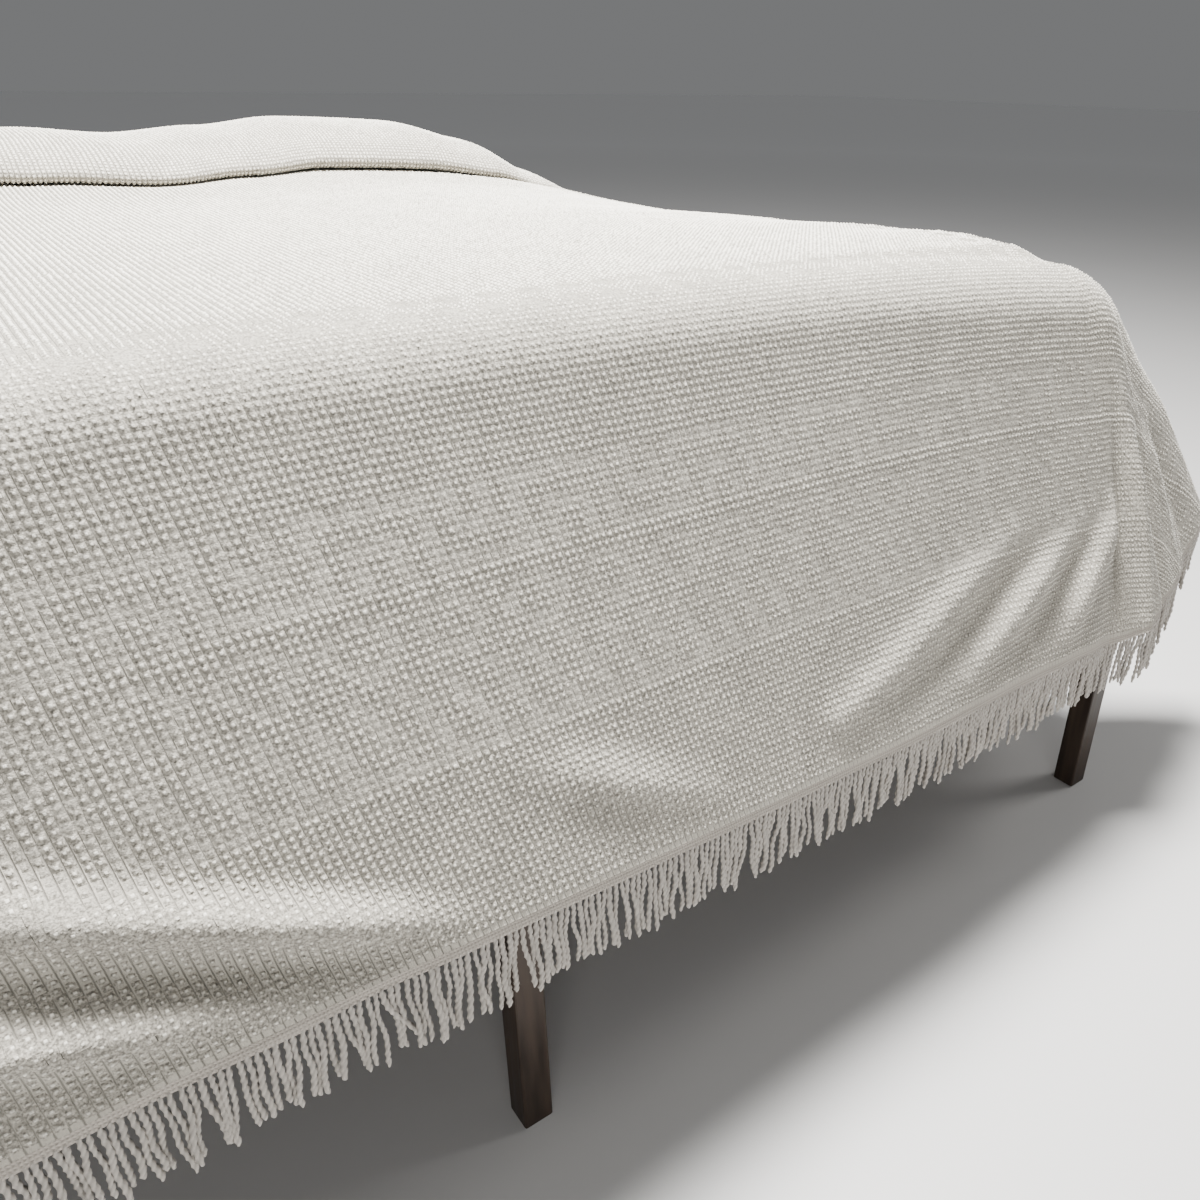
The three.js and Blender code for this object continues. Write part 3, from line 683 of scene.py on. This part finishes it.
def figure(column, row):
    """Height of each nub as a share of the full one."""
    past_side = np.abs(column) - EDGE_COLUMNS
    by_foot = (row < 0) | (-row > past_side)
    line, place = np.where(by_foot, (-row, column), (past_side, row))
    low = np.isin(line, LOW_LINES)
    for chart in (LOZENGES, KEY, OVALS):
        inside, raised = charted(chart, line, place)
        low |= inside & ~raised
    slid = np.mod(place - STROKES["lean"] * (line - STROKES["first"]), STROKES["pitch"])
    low |= (line >= STROKES["first"]) & (line <= STROKES["last"]) & (slid > STROKES["wide"])
    height = np.where(np.isin(line, BOLD_LINES), NUB_SHARES["bold"], NUB_SHARES["plain"])
    return np.where(low, NUB_SHARES["low"], height)


def ring(sides, across, along, rise):
    """Corners round a nub: reach as shares of the pitch, rise as a share of its height."""
    turns = (np.arange(sides) + 0.5) * 2 * math.pi / sides
    reach = math.cos(math.pi / sides)
    return [(across * math.cos(t) / reach, along * math.sin(t) / reach, rise) for t in turns]


def cap(sides, first):
    """Faces from a ring of corners that starts at first up to the point that follows it."""
    return [(first + k, first + (k + 1) % sides, first + sides) for k in range(sides)]


def wall(sides):
    """Faces between the first ring of corners and the second."""
    pairs = [(k, (k + 1) % sides) for k in range(sides)]
    return [f for k, n in pairs for f in ((k, n, sides + n), (k, sides + n, sides + k))]


# Shapes of a nub for the foot of the bed, for its top and for its long sides
TIP = [(0, 0.04, 1)]
DOME = dict(
    corners=ring(4, 0.52, 0.59, -0.1) + ring(4, 0.17, 0.19, 0.32) + TIP,
    faces=wall(4) + cap(4, 4),
)
POINT = dict(corners=ring(4, 0.39, 0.44, 0) + TIP, faces=cap(4, 0))
THORN = dict(corners=ring(3, 0.3, 0.32, 0) + TIP, faces=cap(3, 0))


# How far the tuck reaches to each side. The foot's fuller nubs go about FULL_NUBS up the top, and thin out
# over THIN_OUT past the right corner and round the left one.
TUCKED = 640
FULL_NUBS = 60
THIN_OUT = 260


def lattice():
    """Column and row of every nub, and its place on the flat cloth, but for those shut in the tuck."""
    reach = math.ceil((HALF_TOP + DROP) / PITCH[0])
    rows = np.arange(-math.ceil(DROP / PITCH[1]), int(CLOTH_END / PITCH[1]))
    column, row = [a.ravel() for a in np.meshgrid(np.arange(-reach, reach + 1), rows, indexing="ij")]
    u, v = column * PITCH[0], row * PITCH[1]
    hidden = (v > HEAD_START + MOUTH) & (v < HEAD_START + LIP) & (np.abs(u) < TUCKED)
    _, _, _, _, down, _ = off_top(u, v)
    kept = (down < DROP - HEM_MARGIN) & ~hidden
    return column[kept], row[kept], u[kept], v[kept]


def within(steps, low, high):
    """Steps with their lengths held between two limits."""
    lengths = np.linalg.norm(steps, axis=-1, keepdims=True)
    return steps / lengths * np.clip(lengths, low, high)


def nub_piece(name, shape, column, row, u, v, material, draw):
    """One joined mesh of nubs of the same shape, each a little uneven and stretched as the cloth is there."""
    count = len(u)
    u = u + draw.normal(0, NUB_UNEVEN["across"], count)
    v = v + draw.normal(0, NUB_UNEVEN["along"], count)
    place, across, along, out = cloth_frame(u, v)
    area = np.linalg.norm(across, axis=1) * np.linalg.norm(along, axis=1)
    pressed = np.clip(BUNCHED["spare"] * area, BUNCHED["least"], 1)
    across, along = within(across, *NUB_STRETCH), within(along, *NUB_STRETCH)
    steps = np.stack([PITCH[0] * across, PITCH[1] * along, out], 1)
    share = figure(column, row) * (1 + draw.normal(0, NUB_UNEVEN["height"], count)) * pressed
    corners = np.tile(np.array(shape["corners"], float), (count, 1, 1))
    rise = corners[:, :, 2] * share[:, None]
    corners[:, :, :2] *= 1 + draw.normal(0, NUB_UNEVEN["width"], (count, 1, 1))
    corners[:, -1, :2] += draw.normal(0, NUB_UNEVEN["tip"], (count, 2))
    corners[:, :, 2] = NUB_LIFT + rise * NUB_HEIGHT
    points = place[:, None] + np.einsum("nck,nkx->ncx", corners, steps)
    faces = np.array(shape["faces"])[None] + corners.shape[1] * np.arange(count)[:, None, None]
    # The rise attribute also sets the painted shade: low on a nub is shaded flank, high is its pale tip
    lowness = ease((LOW_NUB["below"] - share) / LOW_NUB["over"])[:, None]
    values = {"rise": np.clip(rise + (LOW_NUB["tone"] - rise) * lowness, 0, 1).ravel()}
    return mesh_piece(name, points.reshape(-1, 3), [faces.reshape(-1, 3)], material, values=values)


def nubs(material):
    """All nubs, in pieces by where they lie: the fuller ones on the foot of the bed."""
    draw = np.random.default_rng(SEED)
    column, row, u, v = lattice()
    on_top = np.abs(u) <= HALF_TOP
    past_foot = np.maximum(v, 0) + np.maximum(-HALF_TOP - u, 0)
    chance = draw.random(len(u))
    near = np.where(on_top, v < FULL_NUBS * (0.5 + chance), past_foot <= THIN_OUT * chance)
    top = ~near & on_top
    zones = [
        ("nubs_foot_left", DOME, near & (u < 0)),
        ("nubs_foot_right", DOME, near & (u >= 0)),
        ("nubs_top", POINT, top & (v < HEAD_START)),
        ("nubs_head", POINT, top & (v >= HEAD_START)),
        ("nubs_left", THORN, ~near & (u < -HALF_TOP)),
        ("nubs_right", THORN, ~near & (u > HALF_TOP)),
    ]
    return [nub_piece(n, shape, column[k], row[k], u[k], v[k], material, draw) for n, shape, k in zones]


# The hem: distance of its points, those of a long side, and their number round a corner. The lengths above a
# point and beside it that set the tape's way down and along.
HEM_STEP = 4
HEM_SIDE = np.arange(CLOTH_END, 0, -HEM_STEP)
TURN_STEPS = 300
HEM_ABOVE = 60
HEM_BESIDE = 6


def hem_line():
    """The hem from the left side to the right one: its points, the tape's way down from them, and lengths."""
    foot = np.arange(-HALF_TOP, HALF_TOP, HEM_STEP)
    turn = np.linspace(0, math.pi / 2, TURN_STEPS, endpoint=False)
    edge, bend, level = np.ones_like(HEM_SIDE), np.ones_like(turn), np.zeros_like(foot)
    start_u = HALF_TOP * np.concatenate([-edge, -bend, foot / HALF_TOP, bend, edge])
    start_v = np.concatenate([HEM_SIDE, 0 * bend, level, 0 * bend, HEM_SIDE[::-1]])
    dir_u = np.concatenate([-edge, -np.cos(turn), level, np.sin(turn), edge])
    dir_v = np.concatenate([0 * edge, -np.sin(turn), level - 1, -np.cos(turn), 0 * edge])
    hem, above = [drape(start_u + d * dir_u, start_v + d * dir_v) for d in (DROP, DROP - HEM_ABOVE)]
    way = unit(hem - above)
    way = unit(way + (np.array([0, 0, -1]) - way) * TAPE["hang"])
    return hem, way, np.r_[0, np.cumsum(np.linalg.norm(np.diff(hem, axis=0), axis=1))]


HEM_POINTS, HEM_WAYS, HEM_LENGTHS = hem_line()


def on_hem(values, along):
    """Values of the hem's points at lengths along it."""
    return np.stack([np.interp(along, HEM_LENGTHS, values[:, k]) for k in range(3)], -1)


def hem_at(along):
    """Point of the hem, way down, way along and front at lengths along it."""
    way = unit(on_hem(HEM_WAYS, along))
    run = unit(on_hem(HEM_POINTS, along + HEM_BESIDE) - on_hem(HEM_POINTS, along - HEM_BESIDE))
    return on_hem(HEM_POINTS, along), way, run, unit(np.cross(run, way))


# The tape's face from its upper edge down: share of its depth and how far it stands proud
TAPE_FACE = table(
    "share proud",
    (0, 0.3),
    (0.07, 1.7),
    (0.15, 1.6),
    (0.21, 0.9),
    (0.6, 1.0),
    (0.95, 0.9),
    (1, 0.2),
)


def tape(material):
    """The heading of the fringe: a thin band with a corded upper edge, lapped over the hem."""
    along = np.arange(0, HEM_LENGTHS[-1], TAPE["step"])
    point, way, run, front = hem_at(along)
    depth = TAPE_FACE["share"] * (TAPE["height"] + TAPE["overlap"]) - TAPE["overlap"]
    depth = np.r_[depth, depth[::-1]]
    proud = TAPE["lift"] + np.r_[TAPE_FACE["proud"], 0 * TAPE_FACE["proud"] - TAPE["back"]]
    section = point[:, None] + way[:, None] * depth[:, None] + front[:, None] * proud[:, None]
    index = np.arange(section.shape[0] * section.shape[1]).reshape(section.shape[:2])
    turned = np.roll(index, -1, axis=1)
    quads = np.stack([index[:-1], index[1:], turned[1:], turned[:-1]], -1).reshape(-1, 4)
    lines = depth / TAPE["height"] * TAPE["lines"]
    uv = np.stack(np.broadcast_arrays(along[:, None] / TAPE["stitch"], lines), -1).reshape(-1, 2)
    return mesh_piece("fringe_tape", section.reshape(-1, 3), [quads], material, uv=uv)


# How strands cling together: the most in a clump, how far they are drawn to its middle, how far a clump and a
# strand of its own stray, the few that hang well astray, and how much of this the tips reach
CLUMP = dict(most=4, drawn=(0.1, 0.7), stray=2.4, own=1.2, astray=9, astray_share=0.04, reach=0.95)

# Waves down a strand: their range in radians, how soon they grow, and their size aside and forward
WAVE = dict(turns=(4, 11), grow=3, aside=1.3, forward=1.0)

# How uneven strands are, in millimetres, with twist and girth as shares. Girth down a strand. The least rings
# to a turn of twist.
STRAND_UNEVEN = dict(place=0.6, length=4.5, forward=3.0, twist=(0.9, 1.15), girth=(0.85, 1.12))
LENGTH_LIMITS = (-13, 9)
STRAND_GIRTH = table("down girth", (0, 0.7), (0.08, 1), (0.94, 1.05), (1, 0.5))
RINGS_A_TURN = 5


def clumped(along, draw):
    """How far each strand's tip is drawn aside: neighbours cling together in small uneven groups."""
    count = len(along)
    clump = np.repeat(np.arange(count), draw.integers(1, CLUMP["most"] + 1, count))[:count]
    groups = clump[-1] + 1
    middle = np.bincount(clump, along) / np.bincount(clump)
    drawn = (middle[clump] - along) * draw.uniform(*CLUMP["drawn"], groups)[clump]
    astray = draw.normal(0, CLUMP["astray"], count) * (draw.random(count) < CLUMP["astray_share"])
    strayed = drawn + draw.normal(0, CLUMP["stray"], groups)[clump]
    return strayed + draw.normal(0, CLUMP["own"], count) + astray


def wavering(t, count, size, draw):
    """Soft waves down each strand, of random length and phase, none at its root."""
    turns = draw.uniform(*WAVE["turns"], (count, 1))
    return size * np.sin(turns * t + draw.uniform(0, 2 * math.pi, (count, 1))) * ease(t * WAVE["grow"])


def strand_paths(along, rings, draw):
    """Middle line of each strand with its two level directions and its length."""
    count = len(along)
    point, way, run, front = hem_at(along)
    root = point + way * (TAPE["height"] - STRAND["root"]) + front * TAPE["lift"]
    length = STRAND["length"] + np.clip(draw.normal(0, STRAND_UNEVEN["length"], count), *LENGTH_LIMITS)
    t = np.linspace(0, 1, rings)
    aside = clumped(along, draw)[:, None] * ease(t * CLUMP["reach"])
    aside = aside + wavering(t, count, WAVE["aside"], draw)
    forward = draw.normal(0, STRAND_UNEVEN["forward"], count)[:, None] * ease(t)
    forward = forward + wavering(t, count, WAVE["forward"], draw)
    level = unit(run * (1, 1, 0))
    outward = np.stack([level[:, 1], -level[:, 0], level[:, 2]], -1)
    path = root[:, None] + level[:, None] * aside[..., None] + outward[:, None] * forward[..., None]
    path[:, :, 2] -= length[:, None] * t
    return path, level, outward, length


def strand_piece(name, low, high, rings, sides, material, draw):
    """Two-ply strands under one stretch of the tape, joined into one mesh."""
    count = int((high - low) / STRAND["pitch"])
    along = low + (np.arange(count) + 0.5) * (high - low) / count
    along = along + draw.normal(0, STRAND_UNEVEN["place"], count)
    path, level, outward, length = strand_paths(along, rings, draw)
    t = np.linspace(0, 1, rings)
    shortest_turn = max(STRAND["turn"], RINGS_A_TURN * STRAND["length"] / (rings - 1))
    twist = shortest_turn * draw.uniform(*STRAND_UNEVEN["twist"], (count, 1))
    turns = draw.uniform(0, 1, (count, 1)) + length[:, None] * t / twist
    angle = 2 * math.pi * (turns[:, :, None] + np.arange(sides) / sides)
    ply = (np.arange(sides) % 2 == 0).astype(float)
    girth = STRAND["thin"] + (STRAND["wide"] - STRAND["thin"]) * ply
    girth = girth * draw.uniform(*STRAND_UNEVEN["girth"], (count, 1, 1))
    radius = girth * np.interp(t, STRAND_GIRTH["down"], STRAND_GIRTH["girth"])[:, None]
    skin = path[:, :, None] + level[:, None, None] * (np.cos(angle) * radius)[..., None]
    skin = skin + outward[:, None, None] * (np.sin(angle) * radius)[..., None]
    index = np.arange(count * rings * sides).reshape(count, rings, sides)
    turned = np.roll(index, -1, axis=2)
    walls = np.stack([index[:, 1:], turned[:, 1:], turned[:, :-1], index[:, :-1]], -1).reshape(-1, 4)
    caps = [index[:, -1, ::-1], index[:, 0]]
    # ply is 1 on the plies' wide sides and 0 where they meet, where cord_cotton paints shade
    values = {"ply": np.tile(ply, count * rings)}
    return mesh_piece(name, skin.reshape(-1, 3), [walls, *caps], material, values=values)


def fringe(material):
    """Strands all round the hem, finest along the foot and its right corner."""
    draw = np.random.default_rng(SEED + 1)
    side = len(HEM_SIDE)
    marks = [0, side, side + TURN_STEPS, -side - TURN_STEPS - 1, -side - 1, -1]
    stops = HEM_LENGTHS[marks]
    # name, rings down a strand, sides of it
    plan = [
        ("strands_left", 11, 3),
        ("strands_left_corner", 18, 4),
        ("strands_foot", 35, 4),
        ("strands_right_corner", 35, 4),
        ("strands_right", 11, 3),
    ]
    made = []
    for (name, rings, sides), low, high in zip(plan, stops, stops[1:]):
        made.append(strand_piece(name, low, high, rings, sides, material, draw))
    return made


# Points of a covered block's outline, round a corner and along a side
LOOP_POINTS = dict(corner=10, side=14)


def rounded_loop(half, front, back, radius):
    """Points round a rectangle with round corners."""
    centres = [
        (half - radius, front + radius, -math.pi / 2),
        (half - radius, back - radius, 0),
        (radius - half, back - radius, math.pi / 2),
        (radius - half, front + radius, math.pi),
    ]
    arcs = []
    for x, y, start in centres:
        t = start + np.linspace(0, math.pi / 2, LOOP_POINTS["corner"] + 1)
        arcs.append(np.column_stack([x + radius * np.cos(t), y + radius * np.sin(t)]))
    loop = []
    for k, arc in enumerate(arcs):
        nxt = arcs[(k + 1) % 4][0]
        share = np.linspace(0, 1, LOOP_POINTS["side"] + 1)[1:-1, None]
        loop.append(np.vstack([arc, arc[-1] + (nxt - arc[-1]) * share]))
    return np.vstack(loop)


# The side of a covered block, as insets from its outline: the bottom by a share of the top edge's radius, the
# lower welt by heights, the full panel, the upper welt by depths below the edge, and the top's loops
BOTTOM_INSET = 0.4
LOWER_WELT = ((4, 6), (0.5, 10), (0, 15), (5, 20))
PANEL = dict(above_bottom=32, below_edge=14, rows=8, inset=5, full=4)
UPPER_WELT = ((5, 8), (0.5, 3))
TOP_EDGE = dict(turns=7, inset=2, least_corner=10)
TOP_LOOPS = (0.2, 0.45, 0.7, 0.9)


def side_profile(low, high, edge, half):
    """Inset and height of each loop of a covered block, from its bottom to the middle of its top."""
    shoulder = high - edge
    profile = [(edge * BOTTOM_INSET, low)] + [(inset, low + up) for inset, up in LOWER_WELT]
    rise = np.linspace(low + PANEL["above_bottom"], shoulder - PANEL["below_edge"], PANEL["rows"])
    share = [k / (PANEL["rows"] - 1) for k in range(PANEL["rows"])]
    profile += [(PANEL["inset"] - PANEL["full"] * math.sin(math.pi * s), z) for s, z in zip(share, rise)]
    profile += [(inset, shoulder - depth) for inset, depth in UPPER_WELT]
    for t in np.linspace(0, math.pi / 2, TOP_EDGE["turns"]):
        profile.append((TOP_EDGE["inset"] + edge * (1 - math.cos(t)), shoulder + edge * math.sin(t)))
    return profile + [(half * s, high) for s in TOP_LOOPS]


def upholstered(name, piece_node, corner, edge, crowned, material):
    """A covered block with a soft top edge, welts and a full side. A crowned one falls to its long edges."""
    low, high = lowest(piece_node), highest(piece_node)
    half, front, back = high[0], low[1], high[1]
    panel_top = high[2] - edge - PANEL["below_edge"]
    loops = []
    for inset, z in side_profile(low[2], high[2], edge, half):
        radius = max(corner - inset, TOP_EDGE["least_corner"])
        outline = rounded_loop(half - inset, front + inset, back - inset, radius)
        sinking = min(1, (z - low[2]) / (panel_top - low[2]))
        sunk = crowned * edge_fall(*outline.T, EDGE_SLACK) * sinking
        loops.append(np.column_stack([outline, z - sunk]))
    points = np.vstack(loops)
    count = len(loops[0])
    index = np.arange(len(points)).reshape(len(loops), count)
    turned = np.roll(index, -1, axis=1)
    quads = np.stack([index[:-1], turned[:-1], turned[1:], index[1:]], -1).reshape(-1, 4)
    piece = mesh_piece(name, points, [quads, index[:1, ::-1], index[-1:]], material)
    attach(piece, BODY)
    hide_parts(piece_node)
    return piece


# A pillow: lines of its net, how square it is, how far its edge draws in, its seam's height, and how soon its
# underside lies flat
PILLOW = dict(across=29, along=21, power=2.6, pinch=0.05, seam=9, flat=2)


def pillow(name, piece_node, material):
    """A soft pillow, full in the middle and thin at its sewn edge."""
    low, high = lowest(piece_node), highest(piece_node)
    centre, half = (low + high) / 2, (high - low) / 2
    lines = np.linspace(-1, 1, PILLOW["across"]), np.linspace(-1, 1, PILLOW["along"])
    a, b = [np.sin(grid * math.pi / 2) for grid in np.meshgrid(*lines, indexing="ij")]
    full = np.sqrt((1 - np.abs(a) ** PILLOW["power"]) * (1 - np.abs(b) ** PILLOW["power"]))
    pinch = 1 - PILLOW["pinch"] * (1 - full)
    x, y = centre[0] + a * half[0] * pinch, centre[1] + b * half[1] * pinch
    seam = low[2] + PILLOW["seam"]
    upper = np.stack([x, y, seam + (high[2] - seam) * full], -1).reshape(-1, 3)
    under = seam - (seam - low[2]) * np.minimum(1, full * PILLOW["flat"])
    lower = np.stack([x, y, under], -1).reshape(-1, 3)
    quads = grid_quads(np.arange(a.size).reshape(a.shape))
    piece = mesh_piece(name, np.vstack([upper, lower]), [quads, quads[:, ::-1] + a.size], material)
    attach(piece, BODY)
    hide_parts(piece_node)
    return piece


# Corner radius and top edge of the covered blocks, the wood's soft edges and what counts as one corner there,
# and the covers' threads in metres
MATTRESS = dict(corner=105, edge=70, crowned=True)
FOUNDATION = dict(corner=60, edge=14, crowned=False)
WOOD_EDGE = 2.5
WOOD_WELD = 0.01
FINE_THREAD, COARSE_THREAD = 0.0016, 0.0022


def bed():
    """The bed under the cloth."""
    ticking = plain_cloth("white_ticking", TICKING, FINE_THREAD)
    cover = plain_cloth("beige_cover", COVER, COARSE_THREAD)
    upholstered("mattress_cover", "mattress", **MATTRESS, material=ticking)
    upholstered("foundation_cover", "foundation", **FOUNDATION, material=cover)
    pillow("pillow_left_soft", "pillow_left", ticking)
    pillow("pillow_right_soft", "pillow_right", ticking)
    wood = dark_wood()
    for name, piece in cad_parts.items():
        if name.startswith("leg_") or name == "platform":
            piece.data.materials.clear()
            piece.data.materials.append(wood)
            piece.modifiers.new("joined_corners", "WELD").merge_threshold = WOOD_WELD * MM
            edge = piece.modifiers.new("soft_edge", "BEVEL")
            edge.width = WOOD_EDGE * MM
            edge.segments = 2


def bedspread():
    """The cloth with all that is woven into it and sewn to it."""
    sheet = spread_sheet(ground_cotton())
    tufts = nubs(nub_cotton())
    band = tape(tape_cotton())
    strands = fringe(cord_cotton())
    for piece in [sheet, *tufts]:
        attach(piece, BODY)
    for piece in [band, *strands]:
        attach(piece, BODY)
    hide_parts("bedspread")
    strips = ["fringe_left", "fringe_left_corner", "fringe_foot", "fringe_right_corner", "fringe_right"]
    for piece, strip in zip(strands, strips):
        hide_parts(strip)


# The stage: a wide pale floor, paler from one distance to another, and its lights. place, target: metres.
# side: of the square lamp. power: watts.
FLOOR_REACH = 45.0
FLOOR_NEAR = ((0.62, 0.615, 0.61), (0.66, 0.655, 0.65))
FLOOR_FAR = (0.96, 0.96, 0.96)
FLOOR_FADE = (3.0, 16.0)
LAMP_COLOUR = (1.0, 0.985, 0.96)
WORLD_COLOUR = (0.97, 0.985, 1.0)
LAMPS = [
    dict(name="ceiling", place=(0.2, -0.25, 3.7), target=(0.1, -0.4, 0.8), side=1.2, power=700),
    dict(name="right_key", place=(3.5, -1.9, 2.6), target=(0.4, -0.9, 0.6), side=0.9, power=36),
    dict(name="front_fill", place=(-1.2, -3.2, 1.1), target=(-0.1, -1.1, 0.4), side=1.4, power=20),
]
WORLD_LIGHT = 0.19


def floor():
    """A level square of pale floor."""
    corners = np.array([(-1, -1, 0), (1, -1, 0), (1, 1, 0), (-1, 1, 0)]) * FLOOR_REACH
    material, tree, shader = new_material("pale_floor", roughness=0.7)
    place = node(tree, "ShaderNodeTexCoord").outputs["Object"]
    reach = node(tree, "ShaderNodeVectorMath", {0: place}, operation="LENGTH").outputs["Value"]
    near = mixed(tree, noise(tree, size=0.8, detail=3.0), *[shaded(c) for c in FLOOR_NEAR])
    shade = mixed(tree, fitted(tree, reach, *FLOOR_FADE), near, shaded(FLOOR_FAR))
    tree.links.new(shade, shader.inputs["Base Color"])
    return mesh_piece("floor", corners / MM, [np.array([[0, 1, 2, 3]])], material)


def stage():
    """Plain pale floor and soft studio light."""
    floor()
    world = bpy.data.worlds.new("studio")
    world.use_nodes = True
    world.node_tree.nodes["Background"].inputs[0].default_value = shaded(WORLD_COLOUR)
    world.node_tree.nodes["Background"].inputs[1].default_value = WORLD_LIGHT
    bpy.context.scene.world = world
    for plan in LAMPS:
        lamp = bpy.data.lights.new(plan["name"], "AREA")
        lamp.size = plan["side"]
        lamp.energy = plan["power"]
        lamp.color = LAMP_COLOUR
        light = bpy.data.objects.new(plan["name"], lamp)
        bpy.context.scene.collection.objects.link(light)
        place = np.array(plan["place"])
        light.matrix_world = looking(place, np.array(plan["target"]) - place, 0.0)


def looking(place, ahead, roll):
    """Matrix of a camera or lamp at a place that looks along a direction, rolled about it."""
    ahead = unit(ahead)
    right = unit(np.cross(ahead, (0, 0, 1)))
    down = np.cross(ahead, right)
    side = math.cos(roll) * right + math.sin(roll) * down
    under = -math.sin(roll) * right + math.cos(roll) * down
    return Matrix([[side[k], -under[k], -ahead[k], place[k]] for k in range(3)] + [[0, 0, 0, 1]])


# The photograph's view: its frame and middle in pixels, focal length in pixels, angles in degrees
PHOTO = dict(frame=1200, focal=1009.4, middle=689, heading=37.97, pitch=27.63, roll=-1.20)
PHOTO_PLACE = np.array([-412.8, -1818.0, 1065.6])
SENSOR = 36.0


def camera():
    """The camera at the photograph's angle."""
    lens = bpy.data.cameras.new("photo_view")
    lens.sensor_width = SENSOR
    lens.lens = SENSOR * PHOTO["focal"] / PHOTO["frame"]
    lens.shift_x = (PHOTO["frame"] / 2 - PHOTO["middle"]) / PHOTO["frame"]
    eye = bpy.data.objects.new("photo_view", lens)
    bpy.context.scene.collection.objects.link(eye)
    heading, pitch = math.radians(PHOTO["heading"]), math.radians(PHOTO["pitch"])
    level = math.cos(pitch)
    ahead = np.array([math.sin(heading) * level, math.cos(heading) * level, -math.sin(pitch)])
    eye.matrix_world = looking(PHOTO_PLACE * MM, ahead, math.radians(PHOTO["roll"]))
    bpy.context.scene.camera = eye


camera()
bedspread()
bed()
stage()
